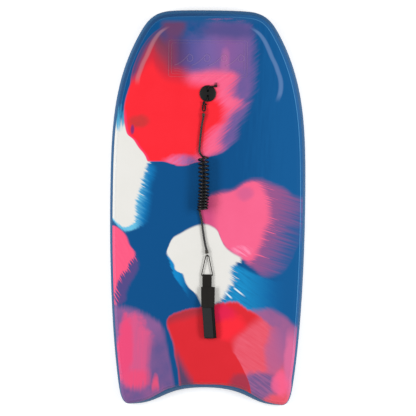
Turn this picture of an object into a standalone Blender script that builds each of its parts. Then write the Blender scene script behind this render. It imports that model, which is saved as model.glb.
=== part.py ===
"""A bodyboard with a coiled wrist leash lying on its deck.

The board lies on its slick with the deck up. +Y points to the nose, +Z up,
and the origin is below the middle of the board, on the surface it lies on.
All sizes are in metres.
"""

from collections import namedtuple
from math import atan2, cos, pi, radians, sin, tan

import bmesh
import bpy
from mathutils import Matrix, Vector

for old in list(bpy.data.objects):
    bpy.data.objects.remove(old)

# ---- driving dimensions: the board ----
LENGTH = 1.040
WIDTH = 0.515
THICKNESS = 0.054
NOSE_LIFT = 0.022            # how far the slick curves up at the nose
ROCKER_FROM_NOSE = 0.193     # where that curve starts
DECK_KICK = 0.005            # how far the deck curves up at the nose
KICK_FROM_NOSE = 0.160
TAIL_DROP = 0.003            # how far the deck falls to the tail
DROP_FROM_TAIL = 0.130
CROWN = 0.0025               # how far the deck falls to its sides
FLAT_DECK = 0.100            # half width of the flat middle of the deck

# ---- driving dimensions: the foam layers ----
DECK_SKIN = 0.006
DECK_EDGE = 0.009            # height of the deck skin's bevelled edge
DECK_ROLL = 0.0008           # how far the crease lies under the deck
ROLL_WIDTH = 0.006
SLICK_SKIN = 0.002
SLICK_EDGE = 0.0028          # width of the slick's top edge on the chine
CHINE_SLOPE = 1.1
RAIL_BAND = 0.007

# ---- driving dimensions: the leash plug ----
PLUG_X = -0.003
PLUG_Y = 0.300
CAP_R = 0.0218
CAP_RIM = 0.0022
CAP_DOME = 0.0046
BOSS_R = 0.0186
STEM_R = 0.0070
SLOT_HALF_WIDTH = 0.0026
SLOT_HALF_LENGTH = 0.0165
BRIDGE_HALF = 0.0044
SLOT_FLOOR = 0.0042          # depth of the slot's floor under the deck
NUT_R = 0.0200
NUT_FLANGE = 0.0035
NUT_WALL = 0.0032
COIN_SLOT_WIDTH = 0.0030
COIN_SLOT_LENGTH = 0.0240
COIN_SLOT_DEPTH = 0.0015

# ---- driving dimensions: the leash ----
STRING_D = 0.0035
KNOT_R = 0.0042
CORD_D = 0.0056
COIL_D = 0.030
COIL_TOP_Y = 0.1335
COIL_END_Y = -0.0060
BARREL_R = 0.0043
BARREL_LENGTH = 0.0092
BARREL_BACK_WALL = 0.0015
PIN_CHAMBER = 0.0022
PIN_R = 0.00085
PIN_HEAD_R = 0.0022
PIN_HEAD = 0.0014
SOCKET_DEPTH = 0.0045
EYE_HOLE_R = 0.0029
EYE_WIRE = 0.0015
UPPER_EYE = Vector((-0.0127, 0.2528))
UPPER_YAW = radians(-5)      # the swivel's turn from pointing to the tail
LOWER_EYE = Vector((0.0001, -0.1250))
LOWER_YAW = radians(188)

# ---- driving dimensions: the ring and the wrist cuff ----
RING_WIRE = 0.0026
RING_X = 0.0005
RING_APEX_Y = -0.1255
RING_HALF_BASE = 0.0150
RING_SIDE_HEIGHT = 0.0695    # from the base to where the two sides would meet
RING_APEX_R = 0.0045
RING_CORNER_R = 0.0025
TAB_THICK = 0.0015
TAB_HALF_WIDTH = 0.0122
TAB_SEWN = 0.028             # how much of the tab lies under the flap
STRAP_THICK = 0.003
STRAP_HALF_WIDTH = 0.0162
STRAP_X = 0.0032
STRAP_TOP_Y = -0.208
STRAP_END_Y = -0.342
STRAP_LEAN_Y = -0.250        # below here the strap lies at an angle
STRAP_LEAN = 0.085
STRAP_FOLD_R = 0.0036
STRAP_OVER_Y = -0.2405       # where the folded-up end stops
TAPE_THICK = 0.0010
TAPE_WIDTH = 0.0245
FLAP_THICK = 0.0024
FLAP_HALF_WIDTH = 0.0182
FLAP_TAPER = 0.0012
FLAP_LENGTH = 0.0535

# ---- clearances ----
GAP = 0.0003                 # between pieces that touch
BAND_GAP = 0.0008            # between the rail bands and the core
PIN_PLAY = 0.0003
FOLD_GAP = 0.0006            # under the strap's folded-up end

ROUND_STEPS = 32
SMALL_STEPS = 20
BEND_STEPS = 7

# Each knot of the right half of the outline, from the nose to the tail:
# where it is, the heading below +X, its two handles, how far the rail leans
# in, how wide the deck's bevel and the chine are, and the segments after it.
Knot = namedtuple("Knot", "x y heading back ahead lean bevel chine segments")
NOSE_Y = LENGTH / 2
TAIL_Y = -LENGTH / 2
SIDE = WIDTH / 2
OUTLINE = (
    Knot(0, NOSE_Y, 0, 0, 0.042, 0.0095, 0.008, 0.012, 4),
    Knot(SIDE - 0.1435, NOSE_Y - 0.004, 0.16, 0.022, 0.038, 0.0095, 0.009, 0.012, 4),
    Knot(SIDE - 0.0725, NOSE_Y - 0.064, 1.07, 0.035, 0.148, 0.0085, 0.009, 0.014, 8),
    Knot(SIDE, 0.012, pi / 2, 0.185, 0.030, 0.0075, 0.006, 0.016, 8),
    Knot(SIDE - 0.028, TAIL_Y + 0.050, 1.72, 0.190, 0.030, 0.0065, 0.006, 0.014, 4),
    Knot(SIDE - 0.0575, TAIL_Y, pi, 0.019, 0.088, 0.0060, 0.006, 0.004, 4),
    Knot(0, TAIL_Y + 0.045, pi, 0.119, 0, 0.0100, 0.006, 0.003, 0),
)
TAIL_TIP = OUTLINE[5]
TAIL_SLOPE = 0.005           # how much more the rail leans in beside the corner
CORNER_LEAN = 0.0035         # the rail is nearly upright at the tail corners
ACROSS = 12
ALONG = 20

Edge = namedtuple("Edge", "at inward lean bevel chine")


# ---------------------------------------------------------------- helpers

def material(name, colour, roughness, metallic=0.0):
    made = bpy.data.materials.new(name)
    made.use_nodes = True
    shader = made.node_tree.nodes["Principled BSDF"]
    shader.inputs["Base Color"].default_value = (*colour, 1.0)
    shader.inputs["Roughness"].default_value = roughness
    shader.inputs["Metallic"].default_value = metallic
    made.diffuse_color = (*colour, 1.0)
    return made


def add_object(name, data, surface, parent=None):
    made = bpy.data.objects.new(name, data)
    bpy.context.scene.collection.objects.link(made)
    data.materials.append(surface)
    made.parent = parent
    return made


def mesh_object(name, bm, surface, parent=None, smooth=True):
    bmesh.ops.recalc_face_normals(bm, faces=bm.faces)
    mesh = bpy.data.meshes.new(name)
    bm.to_mesh(mesh)
    bm.free()
    if smooth:
        mesh.shade_smooth()
        mesh.set_sharp_from_angle(angle=radians(40))
    return add_object(name, mesh, surface, parent)


def pivot(name, place, turn=0.0):
    """An empty on a joint's axis, which its moving pieces are parented to."""
    made = bpy.data.objects.new(name, None)
    bpy.context.scene.collection.objects.link(made)
    made.location = place
    made.rotation_euler = (0, 0, turn)
    bpy.context.view_layer.update()
    return made


def place_under(piece, parent):
    """Parent a piece that is modelled in place, and keep it there."""
    piece.parent = parent
    piece.matrix_parent_inverse = parent.matrix_world.inverted()


def as_cutter(piece):
    piece.hide_render = True
    piece.display_type = "WIRE"
    return piece


def combine(piece, other, operation):
    made = piece.modifiers.new(other.name, "BOOLEAN")
    made.operation = operation
    made.solver = "EXACT"
    made.object = as_cutter(other)


def turned(profile, steps=SMALL_STEPS):
    """A bmesh turned about Z from (radius, height) points, bottom to top."""
    bm = bmesh.new()
    verts = [bm.verts.new((r, 0, z)) for r, z in profile]
    edges = [bm.edges.new(pair) for pair in zip(verts, verts[1:])]
    bmesh.ops.spin(
        bm, geom=verts + edges, axis=(0, 0, 1), cent=(0, 0, 0),
        angle=2 * pi, steps=steps, use_merge=True)
    bmesh.ops.remove_doubles(bm, verts=bm.verts, dist=1e-6)
    return bm


def box(name, low, high):
    bm = bmesh.new()
    bmesh.ops.create_cube(bm, size=1)
    size = [b - a for a, b in zip(low, high)]
    middle = [(a + b) / 2 for a, b in zip(low, high)]
    bmesh.ops.scale(bm, vec=size, verts=bm.verts)
    bmesh.ops.translate(bm, vec=middle, verts=bm.verts)
    return mesh_object(name, bm, cutter_grey, smooth=False)


def curve_through(points, dense=16):
    """Close points on one smooth curve that passes through the given ones."""
    points = [Vector(p) for p in points]
    ends = [2 * points[0] - points[1]] + points + [2 * points[-1] - points[-2]]
    line = []
    for a, b, c, d in zip(ends, ends[1:], ends[2:], ends[3:]):
        for k in range(dense):
            t = k / dense
            line.append(0.5 * (
                2 * b + (c - a) * t + (2 * a - 5 * b + 4 * c - d) * t * t
                + (3 * b - a - 3 * c + d) * t ** 3))
    return line + [points[-1]]


def spaced(line, step):
    """Points along a line at equal distances near the given one."""
    lengths = [0.0]
    for a, b in zip(line, line[1:]):
        lengths.append(lengths[-1] + (b - a).length)
    count = max(2, round(lengths[-1] / step))
    made, i = [], 0
    for k in range(count + 1):
        want = lengths[-1] * k / count
        while i < len(line) - 2 and lengths[i + 1] < want:
            i += 1
        share = (want - lengths[i]) / (lengths[i + 1] - lengths[i])
        made.append(line[i].lerp(line[i + 1], share))
    return made


def tube(name, points, diameter, surface, sides=2, cyclic=False):
    """A round cord or wire along points."""
    curve = bpy.data.curves.new(name, "CURVE")
    curve.dimensions = "3D"
    curve.bevel_depth = diameter / 2
    curve.bevel_resolution = sides
    curve.use_fill_caps = not cyclic
    spline = curve.splines.new("POLY")
    spline.points.add(len(points) - 1)
    for made, p in zip(spline.points, points):
        made.co = (*p, 1.0)
    spline.use_cyclic_u = cyclic
    return add_object(name, curve, surface)


def loft(name, sections, surface, parent=None):
    """A closed solid through outlines with the same number of corners."""
    bm = bmesh.new()
    corner = bm.verts.layers.int.new("corner")
    verts = [bm.verts.new(p) for p in sections[0]]
    for k, v in enumerate(verts):
        v[corner] = k
    face = bm.faces.new(verts)
    for n, section in enumerate(sections[1:]):
        made = bmesh.ops.extrude_face_region(bm, geom=[face])["geom"]
        if n > 0:
            bmesh.ops.delete(bm, geom=[face], context="FACES_ONLY")
        face = next(g for g in made if isinstance(g, bmesh.types.BMFace))
        for v in face.verts:
            v.co = section[v[corner]]
    return mesh_object(name, bm, surface, parent)


# ---------------------------------------------------------- board's surface

def share(value, start, end):
    return min(1.0, max(0.0, (value - start) / (end - start)))


def slick_z(y):
    return NOSE_LIFT * share(y, NOSE_Y - ROCKER_FROM_NOSE, NOSE_Y) ** 2


def deck_z(x, y):
    kick = DECK_KICK * share(y, NOSE_Y - KICK_FROM_NOSE, NOSE_Y) ** 2
    drop = TAIL_DROP * share(-y, -TAIL_Y - DROP_FROM_TAIL, -TAIL_Y) ** 2
    crown = CROWN * share(abs(x), FLAT_DECK, WIDTH / 2) ** 2
    return THICKNESS + kick - drop - crown


def outline_edges():
    """The board's edge all round, from the nose clockwise, seen from above."""
    half = []
    for a, b in zip(OUTLINE, OUTLINE[1:]):
        start, end = Vector((a.x, a.y)), Vector((b.x, b.y))
        out = start + a.ahead * Vector((cos(a.heading), -sin(a.heading)))
        back = end - b.back * Vector((cos(b.heading), -sin(b.heading)))
        for k in range(a.segments):
            t = k / a.segments
            at = ((1 - t) ** 3 * start + 3 * (1 - t) ** 2 * t * out
                  + 3 * (1 - t) * t * t * back + t ** 3 * end)
            way = ((1 - t) ** 2 * (out - start) + 2 * (1 - t) * t * (back - out)
                   + t * t * (end - back)).normalized()
            lean = a.lean + (b.lean - a.lean) * t
            if TAIL_TIP in (a, b):
                # upright at the tail corner and well sloped beside it
                lean += tail_lean(at.x)
            half.append(Edge(
                at, Vector((way.y, -way.x)), lean,
                a.bevel + (b.bevel - a.bevel) * t,
                a.chine + (b.chine - a.chine) * t))
    last = OUTLINE[-1]
    half.append(Edge(
        Vector((0, last.y)), Vector((0, 1)), last.lean, last.bevel, last.chine))
    mirrored = [
        e._replace(at=Vector((-e.at.x, e.at.y)),
                   inward=Vector((-e.inward.x, e.inward.y)))
        for e in reversed(half[1:-1])]
    return half + mirrored


def tail_lean(x):
    middle = TAIL_TIP.x / 2
    corner = CORNER_LEAN - TAIL_TIP.lean
    slope = TAIL_SLOPE * max(0.0, 1 - abs(x - middle) / middle)
    return slope + corner * share(x, middle, TAIL_TIP.x)


EDGES = outline_edges()
NOSE_CORNER = 6
TAIL_CORNER = 26


def ring(inset, height):
    """A loop inside the outline: inset(edge) from it, at height(edge, x, y)."""
    made = []
    for e in EDGES:
        at = e.at + inset(e) * e.inward
        made.append(Vector((at.x, at.y, height(e, at.x, at.y))))
    return made


def chine_z(e, y):
    return slick_z(y) + CHINE_SLOPE * e.chine


def filled(bm, loop, height):
    """A grid of faces inside a loop. Returns its rim's vertices in order."""
    count = len(loop)
    left = [loop[(-NOSE_CORNER - k) % count] for k in range(ALONG + 1)]
    right = [loop[NOSE_CORNER + k] for k in range(ALONG + 1)]
    nose = [loop[(-NOSE_CORNER + k) % count] for k in range(ACROSS + 1)]
    tail = [loop[count - TAIL_CORNER - k] for k in range(ACROSS + 1)]
    made = bmesh.ops.create_grid(
        bm, x_segments=ACROSS, y_segments=ALONG, size=1)["verts"]
    rim = {}
    for v in made:
        i = round((v.co.x + 1) / 2 * ACROSS)
        j = round((1 - v.co.y) / 2 * ALONG)
        a, b = i / ACROSS, j / ALONG
        p = (left[j].lerp(right[j], a) + nose[i].lerp(tail[i], b)
             - nose[0].lerp(nose[-1], a).lerp(tail[0].lerp(tail[-1], a), b))
        if i in (0, ACROSS) or j in (0, ALONG):
            v.co = p
            rim[station(i, j, count)] = v
        else:
            v.co = (p.x, p.y, height(p.x, p.y))
    return [rim[k] for k in range(count)]


def station(i, j, count):
    if j == 0:
        return (i - NOSE_CORNER) % count
    if j == ALONG:
        return count - TAIL_CORNER - i
    return NOSE_CORNER + j if i == ACROSS else count - NOSE_CORNER - j


def layer(name, loops, under, over, surface):
    """A board's layer: filled below and above, with its edge through loops."""
    bm = bmesh.new()
    rim = filled(bm, loops[0], under)
    for loop in loops[1:-1]:
        upper = [bm.verts.new(p) for p in loop]
        skirt(bm, rim, upper)
        rim = upper
    skirt(bm, rim, filled(bm, loops[-1], over))
    return mesh_object(name, bm, surface)


def skirt(bm, lower, upper):
    count = len(lower)
    for k in range(count):
        n = (k + 1) % count
        bm.faces.new((lower[k], lower[n], upper[n], upper[k]))


# ------------------------------------------------------------ the materials

core_foam = material("core foam", (0.80, 0.82, 0.84), 0.85)
deck_print = material("printed deck foam", (0.62, 0.10, 0.14), 0.55)
slick_plastic = material("slick plastic", (0.03, 0.13, 0.30), 0.30)
rail_foam = material("rail foam", (0.06, 0.17, 0.28), 0.60)
plug_plastic = material("plug plastic", (0.02, 0.02, 0.02), 0.40)
string_nylon = material("string nylon", (0.03, 0.03, 0.03), 0.75)
cord_urethane = material("cord urethane", (0.02, 0.02, 0.02), 0.20)
swivel_steel = material("swivel steel", (0.45, 0.45, 0.44), 0.30, 1.0)
ring_steel = material("ring steel", (0.40, 0.39, 0.36), 0.35, 1.0)
webbing_nylon = material("webbing nylon", (0.02, 0.02, 0.02), 0.75)
strap_cloth = material("strap cloth", (0.02, 0.02, 0.02), 0.85)
tape_cloth = material("tape cloth", (0.05, 0.05, 0.055), 0.90)
cutter_grey = material("cutter grey", (0.5, 0.5, 0.5), 0.5)


# -------------------------------------------------------------- the board

def on_slick(e, x, y):
    return slick_z(y)


def on_deck(e, x, y):
    return deck_z(x, y)


def under_deck(depth):
    return lambda e, x, y: deck_z(x, y) - depth


def over_chine(rise):
    return lambda e, x, y: chine_z(e, y) + rise


INNER_CHINE = SLICK_EDGE - 0.002   # how much the slick's inside is set in
LIP = 0.001                        # deck skin past the rail band's inner side
LIP_SLOPE = 0.004

slick_skin = layer(
    "slick_skin",
    [ring(lambda e: e.chine, on_slick),
     ring(lambda e: 0, over_chine(0)),
     ring(lambda e: SLICK_EDGE, over_chine(0)),
     ring(lambda e: e.chine + INNER_CHINE,
          lambda e, x, y: slick_z(y) + SLICK_SKIN)],
    lambda x, y: slick_z(y),
    lambda x, y: slick_z(y) + SLICK_SKIN,
    slick_plastic)

foam_core = layer(
    "foam_core",
    [ring(lambda e: e.chine + INNER_CHINE + GAP,
          lambda e, x, y: slick_z(y) + SLICK_SKIN + GAP),
     ring(lambda e: SLICK_EDGE + BAND_GAP, over_chine(GAP - BAND_GAP)),
     ring(lambda e: e.lean + RAIL_BAND + BAND_GAP,
          over_chine(GAP - BAND_GAP)),
     ring(lambda e: e.lean + RAIL_BAND + BAND_GAP,
          under_deck(DECK_EDGE + GAP)),
     ring(lambda e: e.lean + RAIL_BAND + LIP + BAND_GAP,
          under_deck(DECK_EDGE + GAP)),
     ring(lambda e: e.lean + RAIL_BAND + LIP + LIP_SLOPE,
          under_deck(DECK_SKIN + GAP))],
    lambda x, y: slick_z(y) + SLICK_SKIN + GAP,
    lambda x, y: deck_z(x, y) - DECK_SKIN - GAP,
    core_foam)

deck_skin = layer(
    "deck_skin",
    [ring(lambda e: e.lean + RAIL_BAND + LIP + LIP_SLOPE,
          under_deck(DECK_SKIN)),
     ring(lambda e: e.lean + RAIL_BAND + LIP, under_deck(DECK_EDGE)),
     ring(lambda e: e.lean, under_deck(DECK_EDGE)),
     ring(lambda e: e.lean + e.bevel, under_deck(DECK_ROLL)),
     ring(lambda e: e.lean + e.bevel + ROLL_WIDTH, on_deck)],
    lambda x, y: deck_z(x, y) - DECK_SKIN,
    deck_z,
    deck_print)


def band(name, first, last, surface):
    """A foam strip on the board's side, between two stations of its edge."""
    sections = []
    for k in range(first, last + 1):
        e = EDGES[k % len(EDGES)]
        along = Vector((e.inward.y, -e.inward.x, 0))
        shift = {first: -GAP / 2, last: GAP / 2}.get(k, 0.0)
        section = []
        for inset, rise in (
                (0, 0), (0.3 * e.lean, 0.6), (e.lean, 1),
                (e.lean + RAIL_BAND, 1), (e.lean + RAIL_BAND, 0)):
            at = e.at + inset * e.inward
            low = chine_z(e, at.y) + GAP
            high = deck_z(at.x, at.y) - DECK_EDGE - GAP
            p = Vector((at.x, at.y, low + (high - low) * rise))
            section.append(p + shift * along)
        sections.append(section)
    return loft(name, sections, surface)


STATIONS = len(EDGES)
SHOULDER = OUTLINE[0].segments + OUTLINE[1].segments
nose_bumper = band("nose_bumper", STATIONS - SHOULDER, STATIONS + SHOULDER,
                   rail_foam)
right_rail = band("right_rail", SHOULDER, TAIL_CORNER, rail_foam)
tail_bumper = band("tail_bumper", TAIL_CORNER, STATIONS - TAIL_CORNER,
                   rail_foam)
left_rail = band("left_rail", STATIONS - TAIL_CORNER, STATIONS - SHOULDER,
                 rail_foam)


# --------------------------------------------------------------- the plug

PLUG = Vector((PLUG_X, PLUG_Y, 0))
PLUG_DECK = deck_z(PLUG_X, PLUG_Y)
PLUG_SLICK = slick_z(PLUG_Y)
BOSS_DEPTH = DECK_SKIN - GAP
TUBE_R = STEM_R + GAP + NUT_WALL
TUBE_TOP = PLUG_DECK - DECK_SKIN - 0.0015
NUT_BOTTOM = PLUG_SLICK + GAP
NUT_TOP = NUT_BOTTOM + NUT_FLANGE
STEM_END = NUT_TOP + 0.003


def dome(radius):
    return CAP_DOME - (CAP_DOME - CAP_RIM) * (radius / CAP_R) ** 2


cap_profile = [
    (0, STEM_END), (STEM_R, STEM_END), (STEM_R, PLUG_DECK - BOSS_DEPTH),
    (BOSS_R, PLUG_DECK - BOSS_DEPTH), (BOSS_R, PLUG_DECK + GAP),
    (CAP_R, PLUG_DECK + GAP)]
cap_profile += [
    (CAP_R * (1 - k / 6), PLUG_DECK + dome(CAP_R * (1 - k / 6)))
    for k in range(7)]
plug_cap = mesh_object(
    "plug_cap", turned(cap_profile, ROUND_STEPS), plug_plastic)
plug_cap.location = PLUG

for side in (-1, 1):
    near, far = sorted((side * BRIDGE_HALF, side * SLOT_HALF_LENGTH))
    combine(plug_cap, box(
        "notch_cutter", (PLUG_X - SLOT_HALF_WIDTH, PLUG_Y + near,
                         PLUG_DECK - SLOT_FLOOR),
        (PLUG_X + SLOT_HALF_WIDTH, PLUG_Y + far,
         PLUG_DECK + 2 * CAP_DOME)), "DIFFERENCE")
combine(plug_cap, box(
    "tunnel_cutter", (PLUG_X - SLOT_HALF_WIDTH, PLUG_Y - SLOT_HALF_LENGTH / 2,
                      PLUG_DECK - SLOT_FLOOR),
    (PLUG_X + SLOT_HALF_WIDTH, PLUG_Y + SLOT_HALF_LENGTH / 2,
     PLUG_DECK - SLOT_FLOOR + STRING_D + 4 * GAP)), "DIFFERENCE")

plug_nut = mesh_object("plug_nut", turned([
    (0, NUT_BOTTOM), (NUT_R, NUT_BOTTOM), (NUT_R, NUT_TOP), (TUBE_R, NUT_TOP),
    (TUBE_R, TUBE_TOP), (STEM_R + GAP, TUBE_TOP), (STEM_R + GAP, NUT_TOP),
    (0, NUT_TOP)], ROUND_STEPS), plug_plastic)
plug_nut.location = PLUG
combine(plug_nut, box(
    "coin_slot_cutter",
    (PLUG_X - COIN_SLOT_LENGTH / 2, PLUG_Y - COIN_SLOT_WIDTH / 2,
     NUT_BOTTOM - 0.001),
    (PLUG_X + COIN_SLOT_LENGTH / 2, PLUG_Y + COIN_SLOT_WIDTH / 2,
     NUT_BOTTOM + COIN_SLOT_DEPTH)), "DIFFERENCE")


def drill(pieces, radius, low, high):
    cutter = mesh_object(
        "drill", turned([(0, low), (radius, low), (radius, high), (0, high)],
                        ROUND_STEPS), cutter_grey)
    cutter.location = PLUG
    for piece in pieces:
        combine(piece, cutter, "DIFFERENCE")


drill([deck_skin], BOSS_R + GAP, PLUG_DECK - 2 * DECK_SKIN,
      PLUG_DECK + DECK_SKIN)
drill([foam_core], TUBE_R + GAP, 0, THICKNESS)
drill([slick_skin, foam_core], NUT_R + GAP, NUT_BOTTOM - 0.002, NUT_TOP + GAP)


# ------------------------------------------------ the string and its knots

def above(x, y, z):
    """A point given over the deck."""
    return Vector((x, y, deck_z(x, y) + z))


TUNNEL = STRING_D / 2 + GAP - SLOT_FLOOR
UPPER_KNOT = (0.0172, 0.3202)
LOWER_KNOT = (-0.0124, 0.2748)
SWIVEL_Z = EYE_HOLE_R + EYE_WIRE + GAP
EYE_CENTRE_R = EYE_HOLE_R + EYE_WIRE / 2



def on_cap(x, y, lift):
    """A point of the string over the cap's dome, lift above lying on it."""
    radius = min((Vector((x, y)) - PLUG.xy).length, CAP_R)
    return above(x, y, dome(radius) + STRING_D / 2 + lift)


plug_string_route = [
    on_cap(0.0129, 0.3178, 0.0005), on_cap(0.0086, 0.3186, 0.0009),
    on_cap(0.0032, 0.3184, 0.0008), on_cap(-0.0008, 0.3168, 0.0007),
    on_cap(-0.0026, 0.3136, 0), above(-0.0030, 0.3100, 0.0024),
    above(-0.0030, 0.3066, -0.0010), above(-0.0030, 0.3034, TUNNEL),
    above(-0.0030, 0.3000, TUNNEL), above(-0.0030, 0.2966, TUNNEL),
    above(-0.0030, 0.2934, -0.0010), above(-0.0030, 0.2900, 0.0024),
    on_cap(-0.0033, 0.2864, 0), on_cap(-0.0050, 0.2832, 0.0006),
    on_cap(-0.0074, 0.2806, 0.0008), on_cap(-0.0093, 0.2787, 0.0006)]
plug_string = tube(
    "plug_string", spaced(curve_through(plug_string_route), STRING_D),
    STRING_D, string_nylon)

loop_r = STRING_D / 2 + 0.00195
loop_y = UPPER_EYE.y + EYE_HOLE_R - STRING_D / 2 - GAP + loop_r
loop_turn = [
    above(UPPER_EYE.x - loop_r * cos(a), loop_y - loop_r * sin(a), SWIVEL_Z)
    for a in (0, pi / 4, pi / 2, 3 * pi / 4, pi)]
swivel_loop_route = [
    above(-0.0155, 0.2706, 0.0034), above(-0.0162, 0.2680, 0.0026),
    above(-0.0165, 0.2630, 0.0028), *loop_turn,
    above(-0.0089, 0.2630, 0.0028), above(-0.0092, 0.2680, 0.0026),
    above(-0.0098, 0.2702, 0.0034)]
swivel_loop = tube(
    "swivel_loop", spaced(curve_through(swivel_loop_route), 0.7 * STRING_D),
    STRING_D, string_nylon)


def knot(name, at, tail_way, tail_length):
    """A tight overhand knot, with the string's cut tail."""
    bm = bmesh.new()
    bmesh.ops.create_uvsphere(bm, u_segments=14, v_segments=8, radius=KNOT_R)
    bmesh.ops.scale(bm, vec=(1, 1, 0.86), verts=bm.verts)
    made = mesh_object(name, bm, string_nylon)
    made.location = above(*at, 0.86 * KNOT_R + GAP)
    tail = mesh_object(name + "_tail", turned(
        [(0, 0), (STRING_D / 2, 0), (STRING_D / 2, KNOT_R + tail_length),
         (0, KNOT_R + tail_length)], 10), string_nylon)
    tail.location = above(*at, KNOT_R)
    tail.rotation_euler = (radians(80), 0, atan2(tail_way[0], -tail_way[1]))
    combine(made, tail, "UNION")
    return made


upper_knot = knot("upper_knot", UPPER_KNOT, (-0.05, 1), 0.004)
lower_knot = knot("lower_knot", LOWER_KNOT, (0.80, -0.20), 0.004)


# ------------------------------------------------------------ the swivels

def swivel(name, eye, yaw):
    """An eye whose captive pin turns in a barrel crimped to the cord.

    Along the local Y axis: the eye at 0, the barrel's pin end at -start.
    """
    start = EYE_HOLE_R + EYE_WIRE + 0.0005
    centre = above(eye.x, eye.y, SWIVEL_Z)
    axis = pivot(name + "_axis", centre, yaw)
    to_axis = Matrix.Rotation(radians(90), 4, "X")

    pin_top = start + BARREL_BACK_WALL
    chamber_end = pin_top + PIN_CHAMBER
    head_end = pin_top + (PIN_CHAMBER + PIN_HEAD) / 2
    bore = PIN_R + PIN_PLAY
    chamber_r = PIN_HEAD_R + PIN_PLAY
    end = start + BARREL_LENGTH
    socket_r = CORD_D / 2 + GAP
    shoulder = 0.0009
    bm = turned([
        (0, chamber_end), (chamber_r, chamber_end), (chamber_r, pin_top),
        (bore, pin_top), (bore, start), (BARREL_R - shoulder, start),
        (BARREL_R, start + shoulder), (BARREL_R, end - shoulder),
        (BARREL_R - shoulder / 2, end), (socket_r, end),
        (socket_r, end - SOCKET_DEPTH), (0, end - SOCKET_DEPTH)])
    bmesh.ops.transform(bm, matrix=to_axis, verts=bm.verts)
    barrel = mesh_object(name + "_barrel", bm, swivel_steel, axis)

    bm = turned([
        (0, EYE_CENTRE_R), (PIN_R, EYE_CENTRE_R),
        (PIN_R, head_end - PIN_HEAD), (PIN_HEAD_R, head_end - PIN_HEAD),
        (PIN_HEAD_R, head_end), (0, head_end)])
    bmesh.ops.transform(bm, matrix=to_axis, verts=bm.verts)
    made = mesh_object(name + "_eye", bm, swivel_steel, axis)
    bm = turned([
        (EYE_CENTRE_R + EYE_WIRE / 2 * cos(a), EYE_WIRE / 2 * sin(a))
        for a in [2 * pi * k / 8 for k in range(9)]])
    bmesh.ops.rotate(bm, matrix=Matrix.Rotation(radians(90), 3, "Y"),
                     verts=bm.verts)
    hoop = mesh_object(name + "_hoop", bm, swivel_steel, axis)
    combine(made, hoop, "UNION")
    socket = end - SOCKET_DEPTH + GAP
    way = Vector((sin(yaw), -cos(yaw), 0))
    return made, barrel, centre + socket * way, centre + end * way, way


upper_eye, upper_barrel, cord_start, barrel_mouth, cord_way = swivel(
    "upper", UPPER_EYE, UPPER_YAW)
lower_eye, lower_barrel, cord_end, lower_mouth, end_way = swivel(
    "lower", LOWER_EYE, LOWER_YAW)


# --------------------------------------------------------------- the cord

LYING = CORD_D / 2 + GAP
cord_upper_route = [
    cord_start, barrel_mouth, barrel_mouth + 0.003 * cord_way,
    above(-0.0154, 0.2290, 0.0038), above(-0.0177, 0.2167, LYING),
    above(-0.0194, 0.2020, LYING), above(-0.0208, 0.1882, LYING),
    above(-0.0220, 0.1750, LYING), above(-0.0229, 0.1612, LYING),
    above(-0.0233, 0.1500, LYING), above(-0.0218, 0.1438, LYING),
    above(-0.0186, 0.1386, LYING), above(-0.0152, 0.1350, LYING)]
cord_upper = tube(
    "cord_upper", spaced(curve_through(cord_upper_route), 2 * CORD_D),
    CORD_D, cord_urethane)

cord_lower_route = [
    above(-0.0226, -0.0066, 0.0042), above(-0.0209, -0.0110, 0.0033),
    above(-0.0192, -0.0182, LYING), above(-0.0172, -0.0250, LYING),
    above(-0.0151, -0.0370, LYING), above(-0.0131, -0.0510, LYING),
    above(-0.0106, -0.0670, LYING), above(-0.0077, -0.0844, LYING),
    above(-0.0052, -0.0970, 0.0036),
    lower_mouth + 0.003 * end_way, lower_mouth, cord_end]
cord_lower = tube(
    "cord_lower", spaced(curve_through(cord_lower_route), 2 * CORD_D),
    CORD_D, cord_urethane)

coil_z = COIL_D / 2 + GAP
coil_route = [
    above(-0.0132, COIL_TOP_Y, coil_z), above(-0.0112, 0.0980, coil_z),
    above(-0.0104, 0.0600, coil_z), above(-0.0114, 0.0260, coil_z),
    above(-0.0134, COIL_END_Y, coil_z)]
leash_coil = tube(
    "leash_coil", spaced(curve_through(coil_route), COIL_D / 2), COIL_D,
    cord_urethane, sides=4)


# --------------------------------------------------------------- the ring

def rounded(corners, radii):
    """A closed outline with a round of its own radius at each corner."""
    made = []
    for k, at in enumerate(corners):
        to_last = (corners[k - 1] - at).normalized()
        to_next = (corners[(k + 1) % len(corners)] - at).normalized()
        half = to_last.angle(to_next) / 2
        centre = at + (to_last + to_next).normalized() * radii[k] / sin(half)
        start = at + to_last * radii[k] / tan(half) - centre
        sweep = start.angle_signed(at + to_next * radii[k] / tan(half) - centre)
        for n in range(BEND_STEPS):
            turn = Matrix.Rotation(-sweep * n / (BEND_STEPS - 1), 2)
            made.append(centre + turn @ start)
    return made


RING_SLOPE_ANGLE = atan2(RING_HALF_BASE, RING_SIDE_HEIGHT)
RING_APEX_DROP = RING_APEX_R * (1 / sin(RING_SLOPE_ANGLE) - 1)
RING_BASE_Y = RING_APEX_Y + RING_APEX_DROP - RING_SIDE_HEIGHT
RING_BASE_Z = THICKNESS + GAP + TAB_THICK + GAP + RING_WIRE / 2
RING_APEX_Z = THICKNESS + SWIVEL_Z - GAP


def ring_z(y):
    return RING_BASE_Z + (RING_APEX_Z - RING_BASE_Z) * share(
        y, RING_BASE_Y, RING_APEX_Y)


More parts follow.
